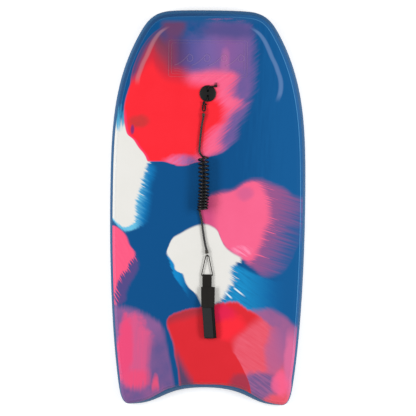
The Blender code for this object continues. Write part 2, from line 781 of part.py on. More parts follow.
outline = rounded(
    [Vector((RING_X - RING_HALF_BASE, RING_BASE_Y)),
     Vector((RING_X, RING_BASE_Y + RING_SIDE_HEIGHT)),
     Vector((RING_X + RING_HALF_BASE, RING_BASE_Y))],
    [RING_CORNER_R, RING_APEX_R, RING_CORNER_R])
cuff_ring = tube(
    "cuff_ring", [Vector((p.x, p.y, ring_z(p.y))) for p in outline],
    RING_WIRE, ring_steel, sides=2, cyclic=True)
ring_axis = pivot("ring_axis", (RING_X, RING_APEX_Y, RING_APEX_Z))
place_under(cuff_ring, ring_axis)


# --------------------------------------------------------------- the cuff

def ribbon(name, path, thickness, left, right, surface, parent):
    """A flat strip along a path of (y, z), from left(y) to right(y)."""
    sections = []
    for k, p in enumerate(path):
        before, after = path[max(k - 1, 0)], path[min(k + 1, len(path) - 1)]
        way = (after - before).normalized()
        normal = Vector((-way.y, way.x)) * thickness / 2
        low, high = p - normal, p + normal
        sections.append([
            Vector((left(low.x), low.x, low.y)),
            Vector((right(low.x), low.x, low.y)),
            Vector((right(high.x), high.x, high.y)),
            Vector((left(high.x), high.x, high.y))])
    made = loft(name, sections, surface)
    place_under(made, parent)
    return made


def over(path, offset):
    """A path moved to its left side, as it runs, by an offset."""
    made = []
    for k, p in enumerate(path):
        before, after = path[max(k - 1, 0)], path[min(k + 1, len(path) - 1)]
        way = (after - before).normalized()
        made.append(p + Vector((-way.y, way.x)) * offset)
    return made


def profile(*points):
    """A smooth path in the plane of Y and Z, Z over the deck."""
    line = curve_through([(y, THICKNESS + z) for y, z in points], 3)
    return [Vector(p) for p in line]


def strap_middle(y):
    return STRAP_X + STRAP_LEAN * max(0.0, STRAP_LEAN_Y - y)


def strap_left(y):
    return strap_middle(y) - STRAP_HALF_WIDTH


def strap_right(y):
    return strap_middle(y) + STRAP_HALF_WIDTH


cuff_axis = pivot("cuff_axis", (RING_X, RING_BASE_Y, RING_BASE_Z))
back_z = GAP + STRAP_THICK / 2
tab_low_z = GAP + STRAP_THICK + GAP + TAB_THICK / 2
tab_high_z = tab_low_z + TAB_THICK + GAP
bar_z = RING_BASE_Z - THICKNESS
tab_r = RING_WIRE / 2 + GAP + TAB_THICK / 2
tab_end_y = STRAP_TOP_Y - TAB_SEWN
tab_turn = [
    (RING_BASE_Y + tab_r * sin(a), bar_z - tab_r * cos(a))
    for a in [pi * k / 8 for k in range(9)]]
tab_path = (
    [(tab_end_y, tab_low_z), (STRAP_TOP_Y - 0.006, tab_low_z),
     (STRAP_TOP_Y + 0.003, tab_low_z),
     ((STRAP_TOP_Y + RING_BASE_Y) / 2, (tab_low_z + bar_z - tab_r) / 2)]
    + tab_turn
    + [((STRAP_TOP_Y + RING_BASE_Y) / 2, (tab_high_z + bar_z + tab_r) / 2),
       (STRAP_TOP_Y, tab_high_z), (tab_end_y, tab_high_z)])
tab_path = [Vector((y, THICKNESS + z)) for y, z in tab_path]
ring_tab = ribbon(
    "ring_tab", tab_path, TAB_THICK, lambda y: RING_X - TAB_HALF_WIDTH,
    lambda y: RING_X + TAB_HALF_WIDTH, webbing_nylon, cuff_axis)

fold_y = STRAP_END_Y + STRAP_FOLD_R + STRAP_THICK / 2
fold_z = back_z + STRAP_FOLD_R
strap_fold = [
    (fold_y - STRAP_FOLD_R * sin(a), fold_z - STRAP_FOLD_R * cos(a))
    for a in [pi * k / 6 for k in range(7)]]
front_z = back_z + STRAP_THICK + FOLD_GAP
strap_back = [
    (STRAP_TOP_Y, back_z), (STRAP_LEAN_Y, back_z),
    ((STRAP_LEAN_Y + STRAP_END_Y) / 2, back_z)]
strap_front = [
    (STRAP_END_Y + 0.020, front_z + 0.0050), (STRAP_END_Y + 0.040, front_z + 0.0050),
    (STRAP_END_Y + 0.060, front_z + 0.0040), (STRAP_END_Y + 0.080, front_z + 0.0023),
    (STRAP_OVER_Y - 0.0095, front_z + 0.0009), (STRAP_OVER_Y, front_z)]
strap_path = [
    Vector((y, THICKNESS + z)) for y, z in strap_back + strap_fold] + profile(
        *strap_front)
cuff_strap = ribbon(
    "cuff_strap", strap_path, STRAP_THICK, strap_left, strap_right,
    strap_cloth, cuff_axis)

tape_lift = STRAP_THICK / 2 + GAP + TAPE_THICK / 2
tape_start = len(strap_back) + 3
loop_path = over(strap_path, tape_lift)[tape_start:]
loop_tape = ribbon(
    "loop_tape", loop_path, TAPE_THICK, lambda y: strap_left(y) + 0.0005,
    lambda y: strap_left(y) + TAPE_WIDTH, tape_cloth, cuff_axis)

flap_axis = pivot("flap_axis", (
    STRAP_X, STRAP_TOP_Y,
    THICKNESS + tab_high_z + TAB_THICK / 2 + GAP + FLAP_THICK / 2))
flap_root_z = tab_high_z + TAB_THICK / 2 + GAP + FLAP_THICK / 2
hook_lift = tape_lift + TAPE_THICK + GAP
flap_lift = hook_lift + TAPE_THICK / 2 + GAP + FLAP_THICK / 2
flap_end_y = STRAP_TOP_Y - FLAP_LENGTH
held = [p for p in strap_path[tape_start:] if p.x > flap_end_y - 0.002]
hook_path = over(held, hook_lift)
hook_tape = ribbon(
    "hook_tape", hook_path, TAPE_THICK, lambda y: strap_left(y) + 0.001,
    lambda y: strap_left(y) + TAPE_WIDTH - 0.0005, tape_cloth, flap_axis)


def flap_left(y):
    return STRAP_X - FLAP_HALF_WIDTH + FLAP_TAPER * share(
        -y, -STRAP_TOP_Y, -flap_end_y)


def flap_right(y):
    return STRAP_X + FLAP_HALF_WIDTH - FLAP_TAPER * share(
        -y, -STRAP_TOP_Y, -flap_end_y) / 2


over_strap = over(held, flap_lift)[::-1]
flap_path = [
    Vector((STRAP_TOP_Y, THICKNESS + flap_root_z)),
    Vector((STRAP_TOP_Y - 0.014, THICKNESS + flap_root_z + 0.0002)),
    Vector((tab_end_y + 0.004, THICKNESS + flap_root_z + 0.0014)),
    *over_strap]
cuff_flap = ribbon(
    "cuff_flap", flap_path[::-1], FLAP_THICK, flap_left, flap_right,
    webbing_nylon, flap_axis)
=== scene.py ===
"""A foam bodyboard with its coiled wrist leash, as it lies ready for the water.

The board lies on its slick: +Y points to the nose, +Z up, all sizes in metres.
"""

from collections import namedtuple
from math import atan2, cos, pi, radians, sin, tan

import bmesh
import bpy
from mathutils import Matrix, Vector

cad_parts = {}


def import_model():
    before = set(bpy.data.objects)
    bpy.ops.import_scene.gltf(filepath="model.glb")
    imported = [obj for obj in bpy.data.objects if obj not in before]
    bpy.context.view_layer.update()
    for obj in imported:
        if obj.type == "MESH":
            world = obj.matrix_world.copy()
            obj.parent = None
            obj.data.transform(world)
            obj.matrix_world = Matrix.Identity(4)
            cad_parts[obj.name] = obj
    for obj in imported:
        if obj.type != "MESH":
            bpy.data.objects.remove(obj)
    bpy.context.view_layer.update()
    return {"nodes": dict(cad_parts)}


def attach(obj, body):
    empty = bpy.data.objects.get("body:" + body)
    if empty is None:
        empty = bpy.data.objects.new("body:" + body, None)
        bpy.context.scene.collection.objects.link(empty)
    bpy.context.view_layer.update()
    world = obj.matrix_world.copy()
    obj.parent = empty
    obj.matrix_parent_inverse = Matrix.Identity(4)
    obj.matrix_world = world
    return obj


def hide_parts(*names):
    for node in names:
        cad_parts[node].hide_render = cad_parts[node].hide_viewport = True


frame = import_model()


# ------------------------------------------------- camera, floor and lights
# The board is seen from straight above, its nose up and turned a little
# clockwise, on a white studio floor. A long soft light stands on each side of
# it, so the leash has a faint shadow on both of its sides.

FRAME_WIDTH = 1.0973                 # what the camera takes in, at half depth
CAMERA_HEIGHT = 6.0
CAMERA_TURN = 0.0112
HALF_DEPTH = 0.03
SENSOR = 36.0


def put(name, data):
    """An object of its own for a mesh, a curve, a light or a camera."""
    made = bpy.data.objects.new(name, data)
    bpy.context.scene.collection.objects.link(made)
    return made


def shape(name, bm):
    """A bare object made of a finished bmesh."""
    mesh = bpy.data.meshes.new(name)
    bm.to_mesh(mesh)
    bm.free()
    return put(name, mesh)


camera = put("camera", bpy.data.cameras.new("camera"))
camera.data.sensor_width = SENSOR
camera.data.lens = SENSOR * (CAMERA_HEIGHT - HALF_DEPTH) / FRAME_WIDTH
camera.location = (0.0009, -0.0007, CAMERA_HEIGHT)
camera.rotation_euler = (0, 0, CAMERA_TURN)
bpy.context.scene.camera = camera
bpy.context.scene.view_settings.view_transform = "Standard"

SIDE_LIGHT = 46.0                    # watts
LIGHT_OUT = 2.1
LIGHT_UP = 1.65
FILL = 0.40
LIGHT_ON_DECK = 1.10                 # how bright these make a white surface
for side in (-1, 1):
    lamp = bpy.data.lights.new("side light", "AREA")
    lamp.shape = "RECTANGLE"
    lamp.size = 0.75
    lamp.size_y = 2.2
    lamp.energy = SIDE_LIGHT
    light = put("side_light", lamp)
    light.location = (side * LIGHT_OUT, 0.1, LIGHT_UP)
    light.rotation_euler = (0, side * atan2(LIGHT_OUT, LIGHT_UP), 0)

world = bpy.data.worlds.new("studio")
world.use_nodes = True
sky = world.node_tree.nodes["Background"]
sky.inputs["Color"].default_value = (1, 1, 1, 1)
sky.inputs["Strength"].default_value = FILL
bpy.context.scene.world = world


class Shade:
    """An output of a material's nodes. Sums on it add Math nodes."""

    def __init__(self, tree, out=None):
        self.tree, self.out = tree, out

    def node(self, kind, sockets, out=0, **settings):
        """The output of a new node, its settings made before its sockets."""
        made = self.tree.nodes.new("ShaderNode" + kind)
        for name, value in settings.items():
            if name == "stops":
                first, *middle, last = value
                for stop, (at, tint) in zip(made.color_ramp.elements, (first, last)):
                    stop.position, stop.color = at, tint
                for at, tint in middle:
                    made.color_ramp.elements.new(at).color = tint
            elif name == "points":
                line = made.mapping.curves[0]
                line.points[0].location, line.points[1].location = value[0], value[-1]
                for at in value[1:-1]:
                    line.points.new(*at)
                for point in line.points:
                    point.handle_type = "AUTO_CLAMPED"
                made.mapping.extend = "HORIZONTAL"
                made.mapping.update()
            else:
                setattr(made, name, value)
        for key, value in sockets.items():
            if isinstance(value, Shade):
                self.tree.links.new(value.out, made.inputs[key])
            else:
                made.inputs[key].default_value = value
        return Shade(self.tree, made.outputs[out])

    def sums(self, operation, first, second):
        return self.node("Math", {0: first, 1: second}, operation=operation)

    def __add__(self, other):
        return self.sums("ADD", self, other)

    def __sub__(self, other):
        return self.sums("SUBTRACT", self, other)

    def __mul__(self, other):
        return self.sums("MULTIPLY", self, other)

    def __truediv__(self, other):
        return self.sums("DIVIDE", self, other)

    def __rsub__(self, other):
        return self.sums("SUBTRACT", other, self)

    __radd__ = __add__
    __rmul__ = __mul__

    def __abs__(self):
        return self.node("Math", {0: self}, operation="ABSOLUTE")

    def wave(self, length):
        """A sine of this value, from -1 to 1, each wave of a length."""
        return self.node("Math", {0: self * (2 * pi / length)}, operation="SINE")

    def ramp(self, *stops):
        """The colours of (place, colour) stops, as this value goes from 0 to 1."""
        return self.node("ValToRGB", {"Fac": self}, stops=stops)

    def curve(self, points):
        """The height of a smooth curve at this value, both from 0 to 1."""
        return self.node("FloatCurve", {"Value": self}, points=points)

    def rise(self, low, high):
        """From 0 at low to 1 at high, softly; high may be the lower one."""
        return self.node("MapRange", {0: self, 1: low, 2: high},
                         interpolation_type="SMOOTHSTEP")

    def axis(self, which):
        return self.node("SeparateXYZ", {0: self}, out=which)

    def noise(self, scale, detail=2.0, roughness=0.5):
        return self.node("TexNoise", {
            "Vector": self, "Scale": scale, "Detail": detail,
            "Roughness": roughness})

    def stretched(self, length, width, turn=0.0, height=1.0):
        """A place in units of length by width by height, turned about Z."""
        return self.node("Mapping", {
            "Vector": self, "Rotation": (0, 0, turn),
            "Scale": (length, width, height)}, vector_type="TEXTURE")

    def between(self, low, high):
        """From one colour to another as this value goes from 0 to 1."""
        return self.node("Mix", {0: self, 6: low, 7: high}, out=2,
                         data_type="RGBA")

    def bump(self, strength, distance):
        return self.node("Bump", {"Height": self, "Strength": strength,
                                  "Distance": distance})


def tint(code):
    """A colour as it looks under these lights, in hexadecimal."""
    parts = [int(code[k:k + 2], 16) / 255 for k in (0, 2, 4)]
    return (*[(c / 12.92 if c <= 0.04045 else ((c + 0.055) / 1.055) ** 2.4)
              / LIGHT_ON_DECK for c in parts], 1.0)


def new_finish(name, sockets):
    """A material with its fixed sockets set, and the place on its piece."""
    made = bpy.data.materials.new(name)
    made.use_nodes = True
    shader = made.node_tree.nodes["Principled BSDF"]
    for key, value in sockets.items():
        shader.inputs[key].default_value = value
    return made, Shade(made.node_tree).node("TexCoord", {}, out="Object")


def dress(finish, sockets):
    """Links what varies over the surface to a material's shader."""
    shader = finish.node_tree.nodes["Principled BSDF"]
    for key, value in sockets.items():
        finish.node_tree.links.new(value.out, shader.inputs[key])


floor_white, place = new_finish("white studio floor", {
    "Base Color": (0.93, 0.93, 0.93, 1), "Specular IOR Level": 0.1,
    "Emission Color": (1, 1, 1, 1), "Emission Strength": 0.32})
dress(floor_white, {"Roughness": 0.85 + 0.1 * place.noise(3.0)})
bm = bmesh.new()
bmesh.ops.create_grid(bm, x_segments=1, y_segments=1, size=6.0)
bmesh.ops.translate(bm, vec=(0, 0, -0.001), verts=bm.verts)
floor = shape("floor", bm)
floor.data.materials.append(floor_white)


# ------------------------------------------------------------ the leash's cord
# One solid urethane cord of 5.6 mm. It leaves the upper swivel, lies along the
# deck, is moulded into fifteen open turns, and runs on to the lower swivel.

CORD_D = 0.0056
GAP = 0.0003                         # between pieces that touch
COIL_D = 0.030
COIL_TURNS = 14.89
COIL_TIGHTENS = 0.16                 # how much closer the last turns are
TURN_STEPS = 18
THICKNESS = 0.054
LENGTH = 1.040
WIDTH = 0.515
NOSE_Y = LENGTH / 2
TAIL_Y = -LENGTH / 2
NOSE_KICK = 0.005                    # of the deck
TAIL_DROP = 0.003
CROWN_DROP = 0.0025


def share(value, start, end):
    """How far a value is from start to end, from 0 to 1."""
    return min(1.0, max(0.0, (value - start) / (end - start)))


def deck_z(x, y):
    """The deck's height: up at the nose, down at the tail and the sides."""
    kick = NOSE_KICK * share(y, NOSE_Y - 0.160, NOSE_Y) ** 2
    drop = TAIL_DROP * share(y, TAIL_Y + 0.130, TAIL_Y) ** 2
    crown = CROWN_DROP * share(abs(x), 0.100, WIDTH / 2) ** 2
    return THICKNESS + kick - drop - crown


def above(x, y, z):
    """A point given over the deck."""
    return Vector((x, y, deck_z(x, y) + z))


def curve_through(points, dense=4):
    """Close points on one smooth curve that passes through the given ones."""
    points = [Vector(p) for p in points]
    ends = [2 * points[0] - points[1]] + points + [2 * points[-1] - points[-2]]
    line = []
    for a, b, c, d in zip(ends, ends[1:], ends[2:], ends[3:]):
        for k in range(dense):
            t = k / dense
            line.append(0.5 * (
                2 * b + (c - a) * t + (2 * a - 5 * b + 4 * c - d) * t * t
                + (3 * b - a - 3 * c + d) * t ** 3))
    return line + [points[-1]]


EYE_HOLE_R = 0.0029
EYE_WIRE = 0.0015
BARREL_LENGTH = 0.0092
SOCKET_DEPTH = 0.0045
BARREL_START = EYE_HOLE_R + EYE_WIRE + 0.0005
BARREL_END = BARREL_START + BARREL_LENGTH
Swivel = namedtuple("Swivel", "eye way")
SWIVEL_Z = EYE_HOLE_R + EYE_WIRE + GAP


def swivel_at(x, y, turn):
    """A swivel's eye, and the way its barrel lies from there."""
    return Swivel(above(x, y, SWIVEL_Z), Vector((sin(turn), -cos(turn), 0)))


upper_swivel = swivel_at(-0.0127, 0.2528, radians(-5))
lower_swivel = swivel_at(0.0001, -0.1250, radians(188))
SOCKET_END = BARREL_END - SOCKET_DEPTH + GAP

LYING = CORD_D / 2 + GAP             # the cord's middle, over the deck


def lying(*places):
    """Where the cord lies on the deck, at (x, y) places."""
    return [above(x, y, LYING) for x, y in places]


coil_r = (COIL_D - CORD_D) / 2
coil_z = COIL_D / 2 + GAP
coil_axis = curve_through([above(x, y, coil_z) for x, y in (
    (-0.0132, 0.1335), (-0.0112, 0.0980), (-0.0104, 0.0600), (-0.0114, 0.0260),
    (-0.0134, -0.0060))], 60)
coil = []
coil_steps = round(COIL_TURNS * TURN_STEPS)
for k in range(1, coil_steps + 1):
    along = k / coil_steps
    turned_by = 2 * pi * COIL_TURNS * along - pi / 2
    along += COIL_TIGHTENS * along * (1 - along)
    coil.append(coil_axis[round(along * (len(coil_axis) - 1))] + coil_r * Vector(
        (cos(turned_by), 0, sin(turned_by))))

IN_BARREL = (SOCKET_END, BARREL_END, BARREL_END + 0.003)
cord_route = [
    *[upper_swivel.eye + out * upper_swivel.way for out in IN_BARREL],
    above(-0.0154, 0.2290, 0.0038),
    *lying((-0.0177, 0.2167), (-0.0194, 0.2020), (-0.0208, 0.1882),
           (-0.0220, 0.1750), (-0.0229, 0.1612), (-0.0233, 0.1500),
           (-0.0218, 0.1438), (-0.0186, 0.1386), (-0.0152, 0.1350)),
    *coil, above(-0.0209, -0.0110, 0.0033),
    *lying((-0.0192, -0.0182), (-0.0172, -0.0250), (-0.0151, -0.0370),
           (-0.0131, -0.0510), (-0.0106, -0.0670), (-0.0077, -0.0844)),
    above(-0.0052, -0.0970, 0.0036),
    *[lower_swivel.eye + out * lower_swivel.way for out in reversed(IN_BARREL)]]
cord_line = curve_through(cord_route)


def length_of(line):
    """A line's length, from place to place."""
    return sum((b - a).length for a, b in zip(line, line[1:]))


def wire(name, points, diameter, finish, body, nodes, cyclic=False):
    """A round cord or wire along points."""
    curve = bpy.data.curves.new(name, "CURVE")
    curve.dimensions = "3D"
    curve.bevel_depth = diameter / 2
    curve.bevel_resolution = 5
    curve.use_fill_caps = not cyclic
    curve.materials.append(finish)
    spline = curve.splines.new("POLY")
    spline.points.add(len(points) - 1)
    for made, p in zip(spline.points, points):
        made.co = (*p, 1.0)
    spline.use_cyclic_u = cyclic
    spline.use_smooth = True
    made = put(name, curve)
    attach(made, body)
    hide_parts(*nodes)
    return made


urethane, place = new_finish("black urethane cord", {
    "Base Color": (0.006, 0.006, 0.0065, 1), "Specular IOR Level": 0.35})
scuffs = place.noise(900.0, 3.0)
dress(urethane, {
    "Roughness": 0.24 + 0.16 * scuffs,
    "Normal": place.noise(260.0).bump(0.15, 0.0002)})
cord = wire("leash_cord", cord_line, CORD_D, urethane, "board",
            ["cord_upper", "leash_coil", "cord_lower"])


# ------------------------------------------------------------- the leash's string
# A braided nylon string of 3.5 mm. It goes over the plug's cap and down through
# its slot, under the bridge, and a knot at each end keeps it there; a second
# piece hangs the upper swivel from the lower knot.

STRING_D = 0.0035
STRANDS = 8
PLUG = Vector((-0.003, 0.300, 0))
SLOT_FLOOR = 0.0042
CAP_R = 0.0218
CAP_RIM = 0.0022
CAP_DOME = 0.0046
TUNNEL = STRING_D / 2 + GAP - SLOT_FLOOR
PLAIT_TURN = 1.6                     # how far the strands turn in one step
BRAID_STEP = 0.0006


def dome(radius):
    """The cap's height over the deck, at a distance from its middle."""
    return CAP_DOME - (CAP_DOME - CAP_RIM) * (radius / CAP_R) ** 2


def on_cap(x, y, lift):
    """A point of the string over the cap's dome, lift above lying on it."""
    radius = min((Vector((x, y)) - PLUG.xy).length, CAP_R)
    return above(x, y, dome(radius) + STRING_D / 2 + lift)


def piece(name, bm, finish, body, nodes=(), sharp=35):
    """A finished bmesh as an object that rides on a body."""
    made = shape(name, bm)
    made.data.shade_smooth()
    made.data.set_sharp_from_angle(angle=radians(sharp))
    made.data.materials.append(finish)
    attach(made, body)
    if nodes:
        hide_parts(*nodes)
    return made


def spaced(line, step):
    """Points along a line at equal distances near the given one."""
    lengths = [0.0]
    for a, b in zip(line, line[1:]):
        lengths.append(lengths[-1] + (b - a).length)
    count = max(2, round(lengths[-1] / step))
    made, i = [], 0
    for k in range(count + 1):
        want = lengths[-1] * k / count
        while i < len(line) - 2 and lengths[i + 1] < want:
            i += 1
        part = (want - lengths[i]) / (lengths[i + 1] - lengths[i])
        made.append(line[i].lerp(line[i + 1], part))
    return made


def swept(sections, closed=False, onto=None):
    """A bmesh of one closed outline drawn out through its later places."""
    bm = onto or bmesh.new()
    number = bm.verts.layers.int.get("number") or bm.verts.layers.int.new("number")
    made = bmesh.ops.create_circle(
        bm, segments=len(sections[0]), radius=1)["verts"]
    for k, v in enumerate(made):
        v[number] = k
        v.co = sections[0][k]
    first = edges = list({e for v in made for e in v.link_edges})
    for section in sections[1:]:
        made = bmesh.ops.extrude_edge_only(bm, edges=edges)["geom"]
        verts = {g for g in made if isinstance(g, bmesh.types.BMVert)}
        edges = [g for g in made if isinstance(g, bmesh.types.BMEdge)
                 and verts.issuperset(g.verts)]
        for v in verts:
            v.co = section[v[number]]
    if closed:
        bmesh.ops.bridge_loops(bm, edges=first + edges)
    else:
        for end in (first, edges):
            bmesh.ops.contextual_create(bm, geom=end)
    bmesh.ops.recalc_face_normals(bm, faces=bm.faces)
    return bm


def braid(name, line, diameter, node):
    """A tube of plaited strands, swept along a line of close points."""
    sections = []
    up = Vector((0.13, 0.21, 1)).normalized()
    last = len(line) - 1
    for n, at in enumerate(line):
        way = (line[min(n + 1, last)] - line[max(n - 1, 0)]).normalized()
        side = way.cross(up).normalized()
        up = side.cross(way)
        section = []
        for k in range(2 * STRANDS):
            turn = pi * k / STRANDS
            plait = (cos(STRANDS / 2 * turn + PLAIT_TURN * n)
                     * cos(STRANDS / 2 * turn - PLAIT_TURN * n))
            radius = diameter / 2 * (0.91 + 0.09 * plait)
            if n in (0, last):
                radius *= 0.82
            section.append(at + radius * (cos(turn) * side + sin(turn) * up))
        sections.append(section)
    return piece(name, swept(sections), string_nylon, "board", [node],
                 60)


string_nylon, place = new_finish("braided nylon string", {
    "Roughness": 0.7, "Specular IOR Level": 0.25})
fibres = place.noise(2600.0, 3.0)
dress(string_nylon, {
    "Base Color": fibres.between(tint("0a0a0a"), tint("202022")),
    "Normal": fibres.bump(0.5, 0.0002)})

plug_string_line = spaced(curve_through([
    on_cap(0.0129, 0.3178, 0.0005), on_cap(0.0086, 0.3186, 0.0009),
    on_cap(0.0032, 0.3184, 0.0008), on_cap(-0.0008, 0.3168, 0.0007),
    on_cap(-0.0026, 0.3136, 0),
    *[above(PLUG.x, PLUG.y + along, lift) for along, lift in (
        (0.0100, 0.0024), (0.0066, -0.0010), (0.0034, TUNNEL), (0, TUNNEL),
        (-0.0034, TUNNEL), (-0.0066, -0.0010), (-0.0100, 0.0024))],
    on_cap(-0.0033, 0.2864, 0), on_cap(-0.0050, 0.2832, 0.0006),
    on_cap(-0.0074, 0.2806, 0.0008), on_cap(-0.0093, 0.2787, 0.0006)], 12),
    BRAID_STEP)
plug_string = braid("braided_plug_string", plug_string_line, STRING_D, "plug_string")

loop_r = STRING_D / 2 + 0.00195
loop_y = upper_swivel.eye.y + EYE_HOLE_R - STRING_D / 2 - GAP + loop_r
loop_turn = [
    above(upper_swivel.eye.x - loop_r * cos(a), loop_y - loop_r * sin(a), SWIVEL_Z)
    for a in (0, pi / 4, pi / 2, 3 * pi / 4, pi)]
swivel_loop_line = spaced(curve_through([
    above(-0.0155, 0.2706, 0.0034), above(-0.0162, 0.2680, 0.0026),
    above(-0.0165, 0.2630, 0.0028), *loop_turn, above(-0.0089, 0.2630, 0.0028),
    above(-0.0092, 0.2680, 0.0026), above(-0.0098, 0.2702, 0.0034)], 12),
    BRAID_STEP)
swivel_loop = braid("braided_swivel_loop", swivel_loop_line, STRING_D, "swivel_loop")

KNOT_MEAN_R = 0.0022                 # of the knot's three lobes
KNOT_LOBE_R = 0.0013


def overhand_knot(name, x, y, tail_way, node):
    """A pulled-tight overhand knot with the string's melted tail."""
    centre = above(x, y, 0.0040)
    start = atan2(tail_way[1], tail_way[0])
    line = []
    for k in range(91):
        # two turns of a trefoil, open where the string goes in and out
        t = 4 * pi * (0.04 + 0.92 * k / 90)
        radius = KNOT_MEAN_R + KNOT_LOBE_R * cos(1.5 * t)
        line.append(centre + Vector((
            radius * cos(t + start), radius * sin(t + start),
            0.8 * KNOT_LOBE_R * sin(1.5 * t))))
    tail = Vector((*tail_way, 0)).normalized()
    line += [line[-1] + (tail + Vector((0, 0, -0.1))) * 0.001 * k
             for k in range(1, 7)]
    return braid(name, line, 0.9 * STRING_D, node)


upper_knot = overhand_knot(
    "upper_overhand_knot", 0.0172, 0.3202, (-0.05, 1), "upper_knot")
lower_knot = overhand_knot(
    "lower_overhand_knot", -0.0124, 0.2748, (0.80, -0.20), "lower_knot")


# ------------------------------------------------------------------ the swivels
# Stainless steel. A small eye turns on a headed pin inside a barrel, and the
# barrel is crimped onto the end of the cord.

BARREL_R = 0.0043
PIN_R = 0.00085
PIN_PLAY = 0.0003
PIN_HEAD_R = 0.0022
PIN_TOP = BARREL_START + 0.0015
HEAD_START = PIN_TOP + 0.0004
HEAD_END = PIN_TOP + 0.0018
CHAMBER_R = 0.0025
CHAMBER_END = PIN_TOP + 0.0022


def lathe(profile, steps=40):
    """A bmesh turned about Z from (radius, height) points, bottom to top."""
    bm = bmesh.new()
    verts = [bm.verts.new((r, 0, z)) for r, z in profile]
    edges = [bm.edges.new(pair) for pair in zip(verts, verts[1:])]
    bmesh.ops.spin(bm, geom=verts + edges, axis=(0, 0, 1), cent=(0, 0, 0),
                   angle=2 * pi, steps=steps, use_merge=True)
    bmesh.ops.remove_doubles(bm, verts=bm.verts, dist=1e-6)
    bmesh.ops.recalc_face_normals(bm, faces=bm.faces)
    return bm


def cut(target, cutters, operation="DIFFERENCE"):
    """Cuts the cutters out of a piece, or joins them to it, for good."""
    for cutter in cutters:
        change = target.modifiers.new("cut", "BOOLEAN")
        change.operation = operation
        change.solver = "EXACT"
        change.object = cutter
    graph = bpy.context.evaluated_depsgraph_get()
    target.data = bpy.data.meshes.new_from_object(target.evaluated_get(graph))
    target.modifiers.clear()
    for cutter in cutters:
        bpy.data.objects.remove(cutter)
    target.data.shade_smooth()
    target.data.set_sharp_from_angle(angle=radians(35))


swivel_steel, place = new_finish("worn swivel steel", {
    "Metallic": 1.0, "Base Color": (0.06, 0.056, 0.048, 1)})
brushed = place.stretched(0.0003, 0.003, 0, 0.0003).noise(1.0, 3.0)
dress(swivel_steel, {
    "Roughness": 0.3 + 0.2 * brushed,
    "Normal": brushed.bump(0.2, 0.0001)})

swivels = []
for name, at in (("upper", upper_swivel), ("lower", lower_swivel)):
    turn = atan2(at.way.x, -at.way.y)
    to_place = (Matrix.Translation(at.eye) @ Matrix.Rotation(turn, 4, "Z")
                @ Matrix.Rotation(radians(90), 4, "X"))
    socket_floor = BARREL_END - SOCKET_DEPTH
    bm = lathe([
        (0, CHAMBER_END), (CHAMBER_R, CHAMBER_END), (CHAMBER_R, PIN_TOP),
        (PIN_R + PIN_PLAY, PIN_TOP), (PIN_R + PIN_PLAY, BARREL_START)] + [
        (BARREL_R - inward, start + along) for start, inward, along in (
            (BARREL_START, 0.0011, 0), (BARREL_START, 0.0004, 0.0002),
            (BARREL_START, 0.0001, 0.0006), (BARREL_START, 0, 0.0011),
            (CHAMBER_END, 0, 0), (CHAMBER_END, 0.0005, 0.0004),
            (CHAMBER_END, 0.0005, 0.0008), (CHAMBER_END, 0, 0.0012),
            (BARREL_END, 0, -0.0022), (BARREL_END, 0.0004, -0.0018),
            (BARREL_END, 0.0004, -0.0014), (BARREL_END, 0, -0.0010),
            (BARREL_END, 0.0001, -0.0004), (BARREL_END, 0.0004, 0))] + [
        (CORD_D / 2 + GAP, BARREL_END), (CORD_D / 2 + GAP, socket_floor),
        (0, socket_floor)])
    bmesh.ops.transform(bm, matrix=to_place, verts=bm.verts)
    barrel = piece(name + "_crimped_barrel", bm, swivel_steel, name + "_barrel",
                   [name + "_barrel"])

    eye_r = EYE_HOLE_R + EYE_WIRE / 2
    bm = lathe([(0, eye_r), (PIN_R, eye_r), (PIN_R, HEAD_START),
                (PIN_HEAD_R, HEAD_START), (PIN_HEAD_R, HEAD_END), (0, HEAD_END)], 24)
    bmesh.ops.transform(bm, matrix=to_place, verts=bm.verts)
    eye = piece(name + "_swivel_eye", bm, swivel_steel, "board",
                [name + "_eye"])
    bm = lathe([(eye_r + EYE_WIRE / 2 * cos(a), EYE_WIRE / 2 * sin(a))
                for a in [2 * pi * k / 16 for k in range(17)]])
    bmesh.ops.rotate(bm, matrix=Matrix.Rotation(radians(90), 3, "Y"), verts=bm.verts)
    bmesh.ops.transform(bm, matrix=to_place, verts=bm.verts)
    cut(eye, [shape("hoop", bm)], "UNION")
    swivels += [barrel, eye]

upper_swivel.eye + BARREL_END * upper_swivel.way
length_of(cord_line)
for string, line, knots in (
        (plug_string, plug_string_line, [upper_knot, lower_knot]),
        (swivel_loop, swivel_loop_line, [])):
    length_of(line)


# ------------------------------------------------------------ the board's foam
# Five layers welded together: a polyethylene core, a printed deck skin with a
# bevelled edge, a hard slick underneath, and foam bands for rails and bumpers.

